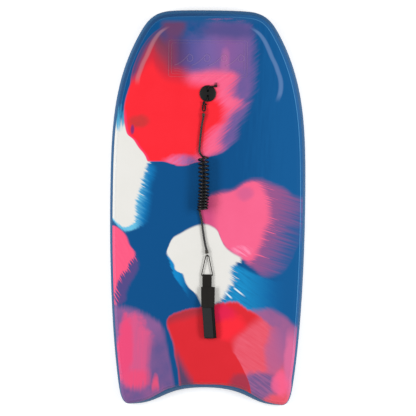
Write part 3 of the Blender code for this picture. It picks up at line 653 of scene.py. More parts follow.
SLICK_SKIN = 0.002
SLICK_EDGE = 0.0028
DECK_SKIN = 0.006
DECK_EDGE = 0.009
RAIL_BAND = 0.007
LIP = 0.001
LIP_SLOPE = 0.004
ROCKER = 0.022                       # how high the slick turns up at the nose
CHINE_RISE = 1.1                     # height of a chine, for its width
CHINE_BELLY = 0.10
SIDE = WIDTH / 2
Corner = namedtuple("Corner", "x y heading back ahead lean bevel chine segments")
OUTLINE = (
    Corner(0, NOSE_Y, 0, 0, 0.042, 0.0095, 0.008, 0.012, 16),
    Corner(SIDE - 0.1435, NOSE_Y - 0.004, 0.16, 0.022, 0.038, 0.0095, 0.009, 0.012, 16),
    Corner(SIDE - 0.0725, NOSE_Y - 0.064, 1.07, 0.035, 0.148, 0.0085, 0.009, 0.014, 32),
    Corner(SIDE, 0.012, pi / 2, 0.185, 0.030, 0.0075, 0.006, 0.016, 32),
    Corner(SIDE - 0.028, TAIL_Y + 0.050, 1.72, 0.190, 0.030, 0.0065, 0.006, 0.014, 16),
    Corner(SIDE - 0.0575, TAIL_Y, pi, 0.019, 0.088, 0.0060, 0.006, 0.004, 16),
    Corner(0, TAIL_Y + 0.045, pi, 0.119, 0, 0.0100, 0.006, 0.003, 0))
TAIL_TIP = OUTLINE[5]
TIP_LEAN = 0.0035
TAIL_SIDE_LEAN = 0.005
NOSE_CORNER = 24                     # stations from the nose's middle
TAIL_CORNER = 104
SHOULDER = 32                        # where the nose bumper meets the rails
ACROSS = 48
ALONG = 80
EDGE_STEPS = (0, 0.15, 0.3, 0.45, 0.6, 0.75, 0.9, 1)
Edge = namedtuple("Edge", "at inward lean bevel chine")


def slick_z(y):
    """The slick's height, which rises towards the nose."""
    return ROCKER * share(y, NOSE_Y - 0.193, NOSE_Y) ** 2


def tail_lean(x):
    """More slope beside the tail's corners, and nearly none at them."""
    middle = TAIL_TIP.x / 2
    slope = TAIL_SIDE_LEAN * max(0.0, 1 - abs(x - middle) / middle)
    return slope + (TIP_LEAN - TAIL_TIP.lean) * share(x, middle, TAIL_TIP.x)


def outline_edges():
    """The board's edge all round, from the nose clockwise, seen from above."""
    half = []
    for a, b in zip(OUTLINE, OUTLINE[1:]):
        start, end = Vector((a.x, a.y)), Vector((b.x, b.y))
        out = start + a.ahead * Vector((cos(a.heading), -sin(a.heading)))
        back = end - b.back * Vector((cos(b.heading), -sin(b.heading)))
        for k in range(a.segments):
            t = k / a.segments
            at = ((1 - t) ** 3 * start + 3 * (1 - t) ** 2 * t * out
                  + 3 * (1 - t) * t * t * back + t ** 3 * end)
            way = ((1 - t) ** 2 * (out - start) + 2 * (1 - t) * t * (back - out)
                   + t * t * (end - back)).normalized()
            lean = a.lean + (b.lean - a.lean) * t
            if TAIL_TIP in (a, b):
                lean += tail_lean(at.x)
            half.append(Edge(
                at, Vector((way.y, -way.x)), lean,
                a.bevel + (b.bevel - a.bevel) * t,
                a.chine + (b.chine - a.chine) * t))
    last = OUTLINE[-1]
    half.append(Edge(
        Vector((0, last.y)), Vector((0, 1)), last.lean, last.bevel, last.chine))
    mirrored = [
        e._replace(at=Vector((-e.at.x, e.at.y)),
                   inward=Vector((-e.inward.x, e.inward.y)))
        for e in reversed(half[1:-1])]
    return half + mirrored


EDGES = outline_edges()
STATIONS = len(EDGES)


def ring(inset, height):
    """A loop inside the outline: inset(edge) from it, at height(edge, x, y)."""
    made = []
    for e in EDGES:
        at = e.at + inset(e) * e.inward
        made.append(Vector((at.x, at.y, height(e, at.x, at.y))))
    return made


def chine_at(e, y, part=1.0):
    """The height on an edge's chine, from its foot to its top."""
    return slick_z(y) + CHINE_RISE * e.chine * part


def station(i, j):
    """The number, round the edge, of a place on the rim of a filling grid."""
    if j == 0:
        return (i - NOSE_CORNER) % STATIONS
    if j == ALONG:
        return STATIONS - TAIL_CORNER - i
    return NOSE_CORNER + j if i == ACROSS else STATIONS - NOSE_CORNER - j


def filled(bm, number, loop, height):
    """A grid of faces inside a loop, its rim numbered by the stations."""
    left = [loop[(-NOSE_CORNER - k) % STATIONS] for k in range(ALONG + 1)]
    right = [loop[NOSE_CORNER + k] for k in range(ALONG + 1)]
    nose = [loop[(-NOSE_CORNER + k) % STATIONS] for k in range(ACROSS + 1)]
    tail = [loop[STATIONS - TAIL_CORNER - k] for k in range(ACROSS + 1)]
    made = bmesh.ops.create_grid(
        bm, x_segments=ACROSS, y_segments=ALONG, size=1)["verts"]
    for v in made:
        i = round((v.co.x + 1) / 2 * ACROSS)
        j = round((1 - v.co.y) / 2 * ALONG)
        a, b = i / ACROSS, j / ALONG
        p = (left[j].lerp(right[j], a) + nose[i].lerp(tail[i], b)
             - nose[0].lerp(nose[-1], a).lerp(tail[0].lerp(tail[-1], a), b))
        if i in (0, ACROSS) or j in (0, ALONG):
            v[number] = station(i, j)
            v.co = p
        else:
            v.co = (p.x, p.y, height(p.x, p.y))


def layer(name, loops, insets, under, over, finish, node):
    """A board's layer: filled below and above, with its edge through loops.
    How far a place is inside the layer's edge is kept for the finish."""
    bm = bmesh.new()
    number = bm.verts.layers.int.new("number")
    inside = bm.verts.layers.float.new("inside")
    filled(bm, number, loops[0], under)
    for v in bm.verts:
        v[inside] = insets[0]
    edges = [e for e in bm.edges if e.is_boundary]
    for loop, inset in zip(loops[1:], insets[1:]):
        made = bmesh.ops.extrude_edge_only(bm, edges=edges)["geom"]
        edges = [g for g in made if isinstance(g, bmesh.types.BMEdge)
                 and g.is_boundary]
        for v in {v for e in edges for v in e.verts}:
            v.co = loop[v[number]]
            v[inside] = inset
    known = set(bm.verts)
    filled(bm, number, loops[-1], over)
    for v in set(bm.verts) - known:
        v[inside] = insets[-1]
    bmesh.ops.remove_doubles(bm, verts=bm.verts, dist=1e-6)
    bmesh.ops.recalc_face_normals(bm, faces=bm.faces)
    return piece(name, bm, finish, "board", [node], sharp=32)


slick_plastic, place = new_finish("hard slick plastic", {
    "Coat Weight": 0.15, "Coat Roughness": 0.1})
grain = place.noise(40.0, 4.0)
dress(slick_plastic, {
    "Base Color": grain.between(tint("12395f"), tint("164470")),
    "Roughness": 0.24 + 0.14 * grain,
    "Normal": place.stretched(0.3, 0.02).noise(1.0, 3.0).bump(0.15, 0.0004)})
slick_loops = [
    ring(lambda e, t=t: e.chine * (1 - t - CHINE_BELLY * sin(pi * t)),
         lambda e, x, y, t=t: chine_at(e, y, t))
    for t in EDGE_STEPS]
slick_loops += [
    ring(lambda e: SLICK_EDGE, lambda e, x, y: chine_at(e, y)),
    ring(lambda e: e.chine + SLICK_EDGE - 0.002,
         lambda e, x, y: slick_z(y) + SLICK_SKIN)]
slick = layer("slick_bottom", slick_loops, [0.01] * len(slick_loops),
              lambda x, y: slick_z(y), lambda x, y: slick_z(y) + SLICK_SKIN,
              slick_plastic, "slick_skin")

core_foam, place = new_finish("white core foam", {})
cells = place.noise(500.0, 2.0)
dress(core_foam, {
    "Base Color": cells.between(tint("c8ced4"), tint("e2e6ea")),
    "Roughness": 0.8 + 0.1 * cells, "Normal": cells.bump(0.4, 0.0004)})
frame["nodes"]["foam_core"].material_slots[0].material = core_foam

rail_foam, place = new_finish("rail foam", {"Specular IOR Level": 0.3})
cells = place.noise(700.0, 2.0)
soft = place.noise(6.0, 2.0)
dress(rail_foam, {
    "Base Color": soft.between(tint("1d5280"), tint("265f8d")),
    "Roughness": 0.55 + 0.15 * cells,
    "Normal": cells.bump(0.25, 0.0003)})
BAND_FACE = (                        # (share of the lean, share of the height)
    (0.02, 0), (-0.05, 0.12), (0.0, 0.3), (0.12, 0.48), (0.32, 0.66),
    (0.6, 0.84), (0.85, 0.96), (1.0, 1.0))
for name, node, first, last in (
        ("nose_bumper_foam", "nose_bumper", STATIONS - SHOULDER, STATIONS + SHOULDER),
        ("right_rail_foam", "right_rail", SHOULDER, TAIL_CORNER),
        ("tail_bumper_foam", "tail_bumper", TAIL_CORNER, STATIONS - TAIL_CORNER),
        ("left_rail_foam", "left_rail", STATIONS - TAIL_CORNER, STATIONS - SHOULDER)):
    sections = []
    for k in range(first, last + 1):
        e = EDGES[k % STATIONS]
        along = Vector((e.inward.y, -e.inward.x, 0))
        shift = {first: -GAP / 2, last: GAP / 2}.get(k, 0.0)
        section = []
        places = [(share_in * e.lean, rise) for share_in, rise in BAND_FACE]
        for inset, rise in places + [(e.lean + RAIL_BAND, 1), (e.lean + RAIL_BAND, 0)]:
            at = e.at + max(inset, 0) * e.inward
            low = chine_at(e, at.y) + GAP
            high = deck_z(at.x, at.y) - DECK_EDGE - GAP
            section.append(Vector((at.x, at.y, low + (high - low) * rise))
                           + shift * along)
        sections.append(section)
    piece(name, swept(sections), rail_foam, "board", [node], 45)


# ------------------------------------------------------- the deck's painted print
# The skin's print is sprayed and brushed on in broad soft strokes: white, red,
# pink and purple on blue, with dry-brush fringes. Painted shade beside the coil
# and painted highlights are mixed in with it. All places are in millimetres.

deck_print_and_painted_light, at = new_finish("printed deck skin and painted light", {"Specular IOR Level": 0.13})
x = at.axis(0) * 1000
y = at.axis(1) * 1000
from_edge = at.node("Attribute", {}, out="Fac", attribute_name="inside") * 1000
ROUTE_SPAN = 1200                    # what a route's curve covers, both ways


def strokes(turn, length=0.06, width=0.006):
    """The streaks of a dry brush drawn at an angle, about -1 to 1."""
    streaks = at.stretched(length, width, radians(turn)).noise(1.0, 4.0, 0.6)
    return (streaks - 0.5) * 3.2


def route(along, *points):
    """A smooth line through (along, across) points of the print."""
    line = (along / ROUTE_SPAN + 0.5).curve([
        (a / ROUTE_SPAN + 0.5, b / ROUTE_SPAN + 0.5) for a, b in points])
    return (line - 0.5) * ROUTE_SPAN


def before(value, edge, soft):
    """1 where the value is less than the edge, over a soft border."""
    return (value - edge).rise(soft, -soft)


level = strokes(2)
falling = strokes(-33)
steep = strokes(-58)
rising = strokes(38)
upright = strokes(88, 0.09, 0.008)
cloud = (at.noise(14.0, 4.0, 0.6) - 0.5) * 2.4
patches = (at.noise(23.0, 3.0, 0.6) - 0.5) * 2.4
speckle = (at.noise(420.0, 2.0) - 0.5) * 2


def spot(px, py, rx, ry, soft=0.5):
    """1 in an uneven ellipse and 0 outside it."""
    across, up = (x - px) / rx + 0.5 * cloud, (y - py) / ry + 0.5 * patches
    return (across * across + up * up).rise(1 + soft, 1 - soft)


def mixed(low, high, brush=cloud, much=0.5):
    """Two close colours, streaked into each other by a brush."""
    return (0.5 + much * brush).between(tint(low), tint(high))


def blotched(low, high, brush=cloud):
    """Two colours that lie in soft patches beside each other."""
    return (0.5 + brush).rise(0, 1).between(tint(low), tint(high))


ink_and_painted_light = (x + 60 * upright).rise(60, 200).between(tint("02508a"), tint("0a5a96"))

# the white stroke on the left, with cyan where it runs into the blue
fringe = before(x - 14 * falling.rise(0, 1) + 8 * falling, route(
    y, (-66, -214), (-51, -172), (-29, -163), (8, -156), (52, -154), (86, -144),
    (104, -141), (113, -150)), 13) * before(
    route(x, (-252, -32), (-234, -53), (-221, -63), (-205, -66), (-189, -58),
          (-170, -50), (-150, -40)), y + 7 * steep, 6) * before(y, 119, 4)
ink_and_painted_light = fringe.between(ink_and_painted_light, ((x - y / 9) + 14 * falling).rise(-160, -196).between(
    tint("0a78b8"), tint("6cc4e6")))
white_print = mixed("e6e5df", "eceae6")
spikes = strokes(-28, 0.09, 0.005)
white = before(x - 26 * spikes.rise(0.0, 1.0) + 8 * falling, route(
    y, (-55, -214), (-44, -198), (-22, -188), (21, -186), (58, -175), (85, -170),
    (104, -163), (112, -160), (119, -155)), 6) * before(
    route(x, (-252, -26), (-235, -44), (-217, -54), (-195, -46), (-180, -30)),
    y + 5 * steep, 3) * before(y + 14 * upright, 222, 16)
ink_and_painted_light = white.between(ink_and_painted_light, white_print)
ink_and_painted_light = (spot(-236, 236, 14, 34) * (0.5 + upright).rise(0.1, 0.9)).between(
    ink_and_painted_light, tint("48b0d8"))

# the large red stroke behind the plug
stroke_left = route(y, (119, -158), (138, -167), (156, -182), (178, -197),
                    (191, -212), (215, -219), (252, -222), (279, -219), (301, -213),
                    (323, -206), (345, -203), (380, -194), (420, -176), (450, -154),
                    (480, -118), (500, -98))
stroke_low = route(x, (-160, 121), (-130, 121), (-110, 119), (-95, 115), (-75, 111),
                   (-55, 112), (-35, 118), (-10, 126), (2, 134), (30, 141),
                   (47, 149), (58, 160), (80, 178))
stroke_right = route(y, (134, 20), (149, 47), (160, 58), (178, 70), (197, 75),
                     (215, 78), (238, 91), (258, 101), (277, 104), (305, 115),
                     (341, 117), (434, 116), (470, 106), (500, 98))
over_stroke = before(stroke_left, x + 2 * cloud, 2.5) * before(
    stroke_low, y + 2 * level, 2.5)
purple = mixed("5a5698", "86609e", cloud, 0.6)
stroke = over_stroke * before(x + 13 * rising + 4 * cloud, stroke_right, 16) * before(
    y + 8 * upright, 490, 16)
ink_and_painted_light = stroke.between(ink_and_painted_light, purple)
pink = over_stroke * before(x + 18 * rising, route(
    y, (134, 2), (141, 14), (160, 36), (178, 33), (197, 37), (215, 42), (238, 54),
    (258, 72), (277, 84), (300, 62), (325, 66), (342, 76), (365, 92)), 22) * before(
    y + 6 * cloud, route(x, (-110, 338), (-60, 350), (-20, 360), (20, 368),
                         (52, 363), (75, 350), (110, 330)), 14)
ink_and_painted_light = pink.between(ink_and_painted_light, mixed("f65a86", "ff7096", rising))
red_top = route(x, (-215, 330), (-190, 345), (-173, 360), (-166, 373), (-151, 382),
                (-140, 366), (-116, 342), (-84, 332), (-38, 325), (2, 321),
                (40, 318))
plum_side = over_stroke * (x + 14 * cloud).rise(-34, -84) * (
    y - red_top).rise(-34, -14)
ink_and_painted_light = plum_side.between(ink_and_painted_light, ((y - red_top + 10 * cloud) / 150).ramp(
    (0.05, tint("d8283c")), (0.22, tint("c22f42")), (0.4, tint("953a54")),
    (0.55, tint("7a3c58")), (0.75, tint("44457c"))))
ink_and_painted_light = (over_stroke * (x - stroke_left).rise(26, 0) * (y - 262).rise(0, 60)).between(
    ink_and_painted_light, blotched("2a4a80", "5c4474"))
red = over_stroke * before(x + 9 * rising, route(
    y, (119, -60), (134, -30), (160, -14), (191, -2), (212, 16), (234, 42),
    (258, 42), (280, 28), (300, 22), (325, 18), (340, 0)), 20) * before(
    y + 8 * cloud, red_top, 18)
ink_and_painted_light = red.between(ink_and_painted_light, mixed("fb2431", "ff2c3a"))
ink_and_painted_light = (over_stroke * (x - stroke_left).rise(9, 2) * before(y, 250, 12)).between(
    ink_and_painted_light, tint("ff3a68"))
ink_and_painted_light = (spot(-184, 225, 26, 17, 0.8) * (0.75 + 0.5 * cloud)).between(
    ink_and_painted_light, tint("c03a3a"))
ink_and_painted_light = spot(-200, 203, 5, 12, 0.8).between(ink_and_painted_light, tint("8a3070"))
ink_and_painted_light = (over_stroke * spot(-68, 120, 48, 17, 0.9) * (0.9 + 0.5 * rising)).between(
    ink_and_painted_light, (x + 10 * upright).rise(-100, -35).between(tint("f070a0"), tint("8468ac")))

# above and inside the raised badge
ink_and_painted_light = (spot(-40, 465, 52, 32, 0.9) * (0.9 + 0.5 * patches)).between(
    ink_and_painted_light, tint("10528e"))
ink_and_painted_light = (spot(54, 462, 62, 26, 0.9) * 0.9).between(ink_and_painted_light, tint("544f8c"))
ink_and_painted_light = (spot(-92, 474, 30, 30, 0.9) * 0.9).between(ink_and_painted_light, tint("6c4068"))
badge_ground = before(abs(x + 4), 106, 14) * (y + 6 * cloud).rise(
    346, 380) * before(y + 5 * patches, 446, 16)
ink_and_painted_light = (badge_ground * 0.85).between(ink_and_painted_light, ((x + 110 + 8 * cloud) / 220).ramp(
    (0.04, tint("84395a")), (0.15, tint("4e4178")), (0.28, tint("55559a")),
    (0.5, tint("7a62a6")), (0.72, tint("8c5c9e")), (0.93, tint("7e5e9e"))))
ink_and_painted_light = (spot(42, 388, 12, 30, 1.0) * 0.42).between(ink_and_painted_light, tint("d070a4"))
ink_and_painted_light = before(488, y + 3 * level, 8).between(ink_and_painted_light, tint("1a5890"))
ink_and_painted_light = (before(y, 503, 2) * spot(45, 494, 58, 9, 0.5) * (
    0.6 * speckle + level).rise(0, 0.7)).between(ink_and_painted_light, tint("7c5a92"))

# the pink stroke right of the coil
teeth = strokes(-17, 0.16, 0.0045)
white_top = route(x, (-7, -44), (11, -49), (26, -60), (33, -76), (46, -101),
                  (66, -118), (85, -128), (103, -141), (114, -150), (157, -179),
                  (193, -171), (220, -140), (237, -101), (250, -85))
purple_right = before(y + 3 * level, route(
    x, (3, 32), (33, 43), (63, 47), (81, 58), (103, 71), (122, 75), (140, 75),
    (159, 67), (178, 60), (205, 49), (224, 34), (241, 28)), 10) * before(
    white_top, y + 5 * level, 9) * before(
    route(y, (-50, -2), (-40, -9), (-20, -19), (-5, -19), (10, -11), (33, 6)), x, 3)
ink_and_painted_light = purple_right.between(ink_and_painted_light, ((x - 0.35 * y) / 100 + 0.5 * teeth).rise(
    1.6, 2.75).between(tint("98568c"), tint("2c5996")))
pink_right = purple_right * before(x - 58 * teeth.rise(0.0, 0.75) + 6 * teeth, route(
    y, (-141, 108), (-128, 126), (-105, 134), (-90, 142), (-69, 146), (-49, 153),
    (-38, 160), (-11, 162), (4, 160), (21, 156), (40, 150), (56, 142), (71, 130),
    (76, 122)), 13) * before(y + 5 * falling, route(
        x, (3, 28), (33, 38), (63, 44), (100, 66), (130, 72), (150, 66)), 6)
ink_and_painted_light = pink_right.between(ink_and_painted_light, mixed("f5608a", "fc6a94"))
# darker pink along the stroke's left edge, next to the coil: painted shade of the coil
ink_and_painted_light = (pink_right * (x + 6 * cloud).rise(34, 2) * 0.75).between(ink_and_painted_light, tint("c84a80"))
ink_and_painted_light = (pink_right * spot(96, 38, 24, 17, 0.9) * 0.35).between(ink_and_painted_light, tint("9a5c98"))
ink_and_painted_light = (pink_right * spot(92, -114, 26, 14, 0.8) * (0.5 + falling).rise(0, 1)).between(
    ink_and_painted_light, tint("ff92b8"))

# the white stroke under the ring and the cuff
cyan = before(route(y, (-262, -16), (-238, -46), (-211, -64), (-191, -80),
                    (-166, -91), (-134, -102), (-119, -108)), x + 5 * falling, 3
              ) * before(x, -60, 20) * before(y, -118, 5) * before(-262, y, 5)
ink_and_painted_light = cyan.between(ink_and_painted_light, tint("0c88ca"))
sea = before(y + 4 * falling, route(
    x, (56, -142), (84, -152), (113, -167), (148, -181), (170, -188), (215, -194)),
    5) * before(-290, y, 6) * (x + 10 * falling).rise(215, 150) * before(40, x, 8)
ink_and_painted_light = (sea * (0.75 + 0.6 * falling)).between(ink_and_painted_light, (x + 40 * falling).rise(85, 190).between(
    tint("1896d2"), tint("0868a8")))
white_low = before(y, route(
    x, (-107, -119), (-100, -98), (-90, -80), (-72, -69), (-43, -53), (-24, -46),
    (-6, -44), (11, -49), (26, -60), (33, -76), (46, -101), (66, -118),
    (85, -128), (103, -141), (130, -160)), 4) * before(
    route(y, (-262, -12), (-254, -15), (-227, -28), (-211, -47), (-198, -56),
          (-173, -65), (-166, -81), (-148, -87), (-134, -98), (-119, -107),
          (-98, -101), (-80, -91), (-60, -60)), x + 3 * steep, 3) * before(
    x - 26 * spikes.rise(0.0, 1.0) + 12 * falling, route(
        y, (-258, 15), (-252, 25), (-242, 37), (-224, 48), (-209, 58), (-191, 66),
        (-170, 62), (-155, 66), (-141, 84), (-120, 110)), 10)
ink_and_painted_light = white_low.between(ink_and_painted_light, white_print)
for sx, sy, ex, ey in ((73, -211, 104, -235), (49, -222, 69, -240)):
    turn = atan2(ey - sy, ex - sx)
    along = (x - sx) * cos(turn) + (y - sy) * sin(turn)
    across = (y - sy) * cos(turn) - (x - sx) * sin(turn)
    ink_and_painted_light = ((across * across).rise(7, 1) * along.rise(-6, 3) * along.rise(
        Vector((ex - sx, ey - sy)).length, 16)).between(ink_and_painted_light, tint("dfeef4"))

# the pink stroke at the left edge
purple_edge = before(x + 3 * steep, route(
    y, (-262, -238), (-247, -214), (-224, -210), (-200, -201), (-184, -191),
    (-153, -180), (-123, -191), (-101, -204), (-74, -215), (-56, -234),
    (-45, -252)), 7) * before(y, -50, 3)
ink_and_painted_light = purple_edge.between(ink_and_painted_light, tint("544a88"))
bristles = strokes(-57, 0.07, 0.0035)
pink_edge = before(y, -50, 3) * before(x - 30 * bristles.rise(-0.2, 0.9) * before(
    y, -120, 30), route(
    y, (-262, -250), (-215, -240), (-191, -232), (-170, -222), (-162, -214),
    (-141, -202), (-135, -197), (-123, -191), (-101, -204), (-74, -215),
    (-56, -234), (-45, -252)), 4)
ink_and_painted_light = pink_edge.between(ink_and_painted_light, mixed("fa5580", "ff6088", steep))

# the mauve and pink stroke of the tail's left half
tail_pink = before(y + 5 * upright, route(
    x, (-262, -236), (-240, -260), (-212, -264), (-184, -271), (-156, -284),
    (-134, -297), (-115, -308), (-106, -322)), 11) * before(x + 3 * upright, route(
        y, (-520, -82), (-469, -86), (-428, -93), (-400, -99), (-373, -104),
        (-347, -108), (-321, -113), (-300, -120)), 8)
ink_and_painted_light = tail_pink.between(ink_and_painted_light, mixed("7c5a92", "96609a", cloud, 0.6))
ink_and_painted_light = (tail_pink * spot(-186, -385, 46, 105, 0.45) * (0.9 + 0.4 * cloud).rise(
    0.1, 0.7)).between(ink_and_painted_light, mixed("cf5c8e", "e6588a", upright, 0.6))
ink_and_painted_light = (tail_pink * spot(-212, -372, 19, 78, 0.6)).between(ink_and_painted_light, tint("f04c7c"))
ink_and_painted_light = (tail_pink * spot(-178, -452, 36, 26, 0.7) * (1 + upright).rise(0.2, 0.9)
       ).between(ink_and_painted_light, tint("f0507e"))
ink_and_painted_light = (tail_pink * before(-148, x + 7 * upright, 16) * before(y, -350, 30)).between(
    ink_and_painted_light, blotched("5f5590", "7a5a92"))
ink_and_painted_light = (tail_pink * spot(-132, -472, 10, 32, 0.7)).between(ink_and_painted_light, tint("e8547e"))
ink_and_painted_light = (tail_pink * (y + 8 * upright).rise(-462, -492)).between(
    ink_and_painted_light, blotched("6c5892", "9a5c94"))

# the red and mauve strokes of the tail's right half
tail_left = route(y, (-500, -64), (-463, -67), (-447, -69), (-419, -73), (-391, -79),
                  (-362, -84), (-332, -94), (-306, -102), (-295, -102))
mauve_end = before(y + 4 * falling, route(
    x, (100, -276), (120, -269), (147, -267), (162, -264), (190, -275),
    (209, -286), (227, -304), (245, -314)), 10) * before(95, x, 10)
ink_and_painted_light = mauve_end.between(ink_and_painted_light, mixed("8a5c94", "b46492", cloud, 0.7))
tail_top = route(x, (-104, -306), (-103, -295), (-92, -286), (-73, -277),
                 (-46, -269), (-13, -264), (23, -255), (51, -250), (75, -247),
                 (88, -254), (107, -267), (129, -278), (148, -291), (175, -312))
tail_stroke = before(y + 3 * upright, tail_top, 6) * before(tail_left, x + 2 * upright, 5)
coral = tail_stroke * before(x + 0.35 * (y + 380) + 10 * cloud, 196, 26)
ink_and_painted_light = coral.between(ink_and_painted_light, mixed("e84c60", "f06478", falling, 0.6))
ink_and_painted_light = (tail_stroke * spot(184, -380, 26, 60, 0.8) * 0.7).between(ink_and_painted_light, tint("a8649a"))
ink_and_painted_light = (before(y, -330, 30) * spot(222, -400, 16, 95, 0.7)).between(
    ink_and_painted_light, tint("dc6c9c"))
ink_and_painted_light = (before(y + 8 * falling, -425, 22) * spot(148, -462, 44, 40, 0.5)).between(
    ink_and_painted_light, blotched("74588e", "a06496", falling))
ink_and_painted_light = (spot(196, -462, 22, 30, 0.7) * 0.8).between(ink_and_painted_light, tint("ff6494"))
red_end = route(y, (-500, 122), (-482, 119), (-456, 113), (-438, 105), (-414, 94),
                (-391, 81), (-373, 72), (-345, 74), (-320, 98), (-300, 128),
                (-280, 150))
tail_red = tail_stroke * ((x + 2 * cloud - red_end) / (
    1.5 + 26 * (y + 340).rise(-60, 30))).rise(1, -1)
ink_and_painted_light = tail_red.between(ink_and_painted_light, mixed("dc2630", "e42a36"))
ink_and_painted_light = (tail_red * spot(62, -312, 42, 34, 0.7)).between(ink_and_painted_light, tint("ff2a3a"))
ink_and_painted_light = (tail_red * spot(34, -276, 40, 24, 0.9)).between(ink_and_painted_light, tint("e8204e"))
ink_and_painted_light = (tail_red * (y - tail_top + 8 * cloud).rise(-30, -2) * (x + 10 * cloud).rise(
    20, -30)).between(ink_and_painted_light, tint("b03240"))
ink_and_painted_light = (tail_red * before(x + 0.55 * (y + 350) + 7 * upright, -96, 16) * before(
    y, -330, 30)).between(ink_and_painted_light, tint("5a4468"))
ink_and_painted_light = (tail_red * spot(92, -462, 30, 26, 0.7) * 0.8).between(ink_and_painted_light, tint("9c3850"))

# the bevel's blue near the nose, and painted highlights: along the nose's shoulders, along
# the ridge at the top of the edge's bevel, and on the badge's raised lines
SHOULDER_HIGHLIGHT_LINE = ((282, 180), (303, 187), (322, 189), (341, 187), (359, 181),
                 (378, 174), (398, 164), (419, 155), (439, 145), (459, 130),
                 (474, 110))
# a pale painted highlight along each shoulder of the nose
for side, points, shoulder_highlight in ((-1, SHOULDER_HIGHLIGHT_LINE[2:], tint("c08a96")),
                            (1, SHOULDER_HIGHLIGHT_LINE, tint("7c9ccc"))):
    off = (x * side - route(y, *points)) / 6.5
    start = points[0][0]
    ends = y.rise(start - 6, start + 22) * y.rise(478, 462)
    ink_and_painted_light = ((off * off).rise(1.5, 0.0) * ends * 0.45).between(ink_and_painted_light, shoulder_highlight)
plug_x, plug_y = x - 1000 * PLUG.x, y - 1000 * PLUG.y
off_plug = (plug_x * plug_x + plug_y * plug_y).rise(30 ** 2, 40 ** 2)
skirt_blue = (y + 6 * level).rise(200, 300) * from_edge.rise(11, 7) * off_plug
ink_and_painted_light = skirt_blue.between(ink_and_painted_light, x.rise(-60, 120).between(
    tint("184a7c"), tint("1a5f9a")))
# a thin painted highlight along the ridge at the top of the edge's bevel, brighter on the
# right and fading towards the tail
crease_highlight = from_edge - 10
ink_and_painted_light = ((crease_highlight * crease_highlight).rise(2.2, 0.2) * (0.14 + 0.4 * x.rise(0, 200)) * y.rise(
    -420, -240) * off_plug).between(ink_and_painted_light, tint("5aa4d8"))
# a faint painted highlight on the badge's raised lines, the only places that far inside
# the edge
badge_ridge_highlight = from_edge.rise(60, 90)
ink_and_painted_light = (badge_ridge_highlight * 0.07).between(ink_and_painted_light, tint("e6c0dc"))
dress(deck_print_and_painted_light, {
    "Base Color": ink_and_painted_light, "Roughness": 0.42 + 0.1 * at.noise(300.0, 3.0),
    "Normal": at.noise(900.0, 3.0).bump(0.12, 0.0003)})


def deck_ring(inset, depth):
    """A loop inside the foot of the deck's bevel, at a depth under the deck."""
    return ring(lambda e: e.lean + inset(e), lambda e, x, y: deck_z(x, y) - depth)


DECK_CREASE = ((0.0006, 0.0001), (0.0016, 0.0001), (0.0032, 0.0007),
               (0.0055, 0.0004), (0.0080, 0.0))
BEVEL_TOP = 0.0008                   # depths under the deck
BEVEL_DROP = 0.0076
deck_loops = [
    deck_ring(lambda e: RAIL_BAND + LIP + LIP_SLOPE, DECK_SKIN),
    deck_ring(lambda e: RAIL_BAND + LIP, DECK_EDGE),
    deck_ring(lambda e: 0.0006, DECK_EDGE)]
deck_loops += [
    deck_ring(lambda e, t=t: t * e.bevel, BEVEL_TOP + BEVEL_DROP * (
        1 - 0.3 * sin(pi / 2 * t) - 0.7 * t)) for t in EDGE_STEPS]
deck_loops += [
    deck_ring(lambda e, more=more: e.bevel + more, depth)
    for more, depth in DECK_CREASE]
deck_insets = [-0.004, -0.003, -0.001] + [0.010 * t for t in EDGE_STEPS] + [
    0.010 + more for more, depth in DECK_CREASE]
deck = layer("printed_deck", deck_loops, deck_insets,
             lambda x, y: deck_z(x, y) - DECK_SKIN, deck_z,
             deck_print_and_painted_light, "deck_skin")


# --------------------------------------------------------- the deck's raised badge
# A plain badge pressed into the deck skin near the nose: two thin raised frames
# round a row of rolling waves, in the skin's own print.

BADGE_LEFT, BADGE_RIGHT = -0.1066, 0.0995
BADGE_LOW, BADGE_HIGH = 0.3435, 0.4398
FRAME_GAP = 0.0075
WAVE_SIZE = 0.039
CURL = 0.30                          # radius of a crest, for the wave's size
RIDGE = ((-0.5, -0.3), (-0.35, 0.5), (-0.15, 0.95), (0.15, 0.95), (0.35, 0.5),
         (0.5, -0.3))


def ridge(bm, points, width, height, closed):
    """A low rounded ridge on the deck along points."""
    sections = []
    count = len(points)
    for k, at in enumerate(points):
        after = points[(k + 1) % count if closed else min(k + 1, count - 1)]
        way = (after - points[k - 1 if closed else max(k - 1, 0)]).normalized()
        side = Vector((way.y, -way.x))
        sections.append([
            above(*(at + side * width * share_out), height * rise)
            for share_out, rise in RIDGE])
    swept(sections, closed, bm)


def round_frame(margin, radius, steps=8):
    """A rectangle with round corners, inside the badge's border."""
    made = []
    for corner, (cx, cy) in enumerate((
            (BADGE_RIGHT, BADGE_HIGH), (BADGE_LEFT, BADGE_HIGH),
            (BADGE_LEFT, BADGE_LOW), (BADGE_RIGHT, BADGE_LOW))):
        sx, sy = (1 if cx == BADGE_RIGHT else -1), (1 if cy == BADGE_HIGH else -1)
        centre = Vector((cx - sx * (margin + radius), cy - sy * (margin + radius)))
        for k in range(steps + 1):
            turn = pi / 2 * (corner + k / steps)
            made.append(centre + radius * Vector((cos(turn), sin(turn))))
    return made


def wave(left, low):
    """A rolling wave: its back, and a crest that curls over."""
    line = [Vector((left + WAVE_SIZE * t, low + 0.75 * WAVE_SIZE * t ** 1.6))
            for t in [k / 14 for k in range(15)]]
    centre = line[-1] + Vector((0.0, -CURL * WAVE_SIZE))
    for k in range(2, 31):
        curled = 5.2 * k / 30
        line.append(centre + CURL * WAVE_SIZE * (1 - 0.12 * curled) * Vector(
            (sin(curled), cos(curled))))
    return line


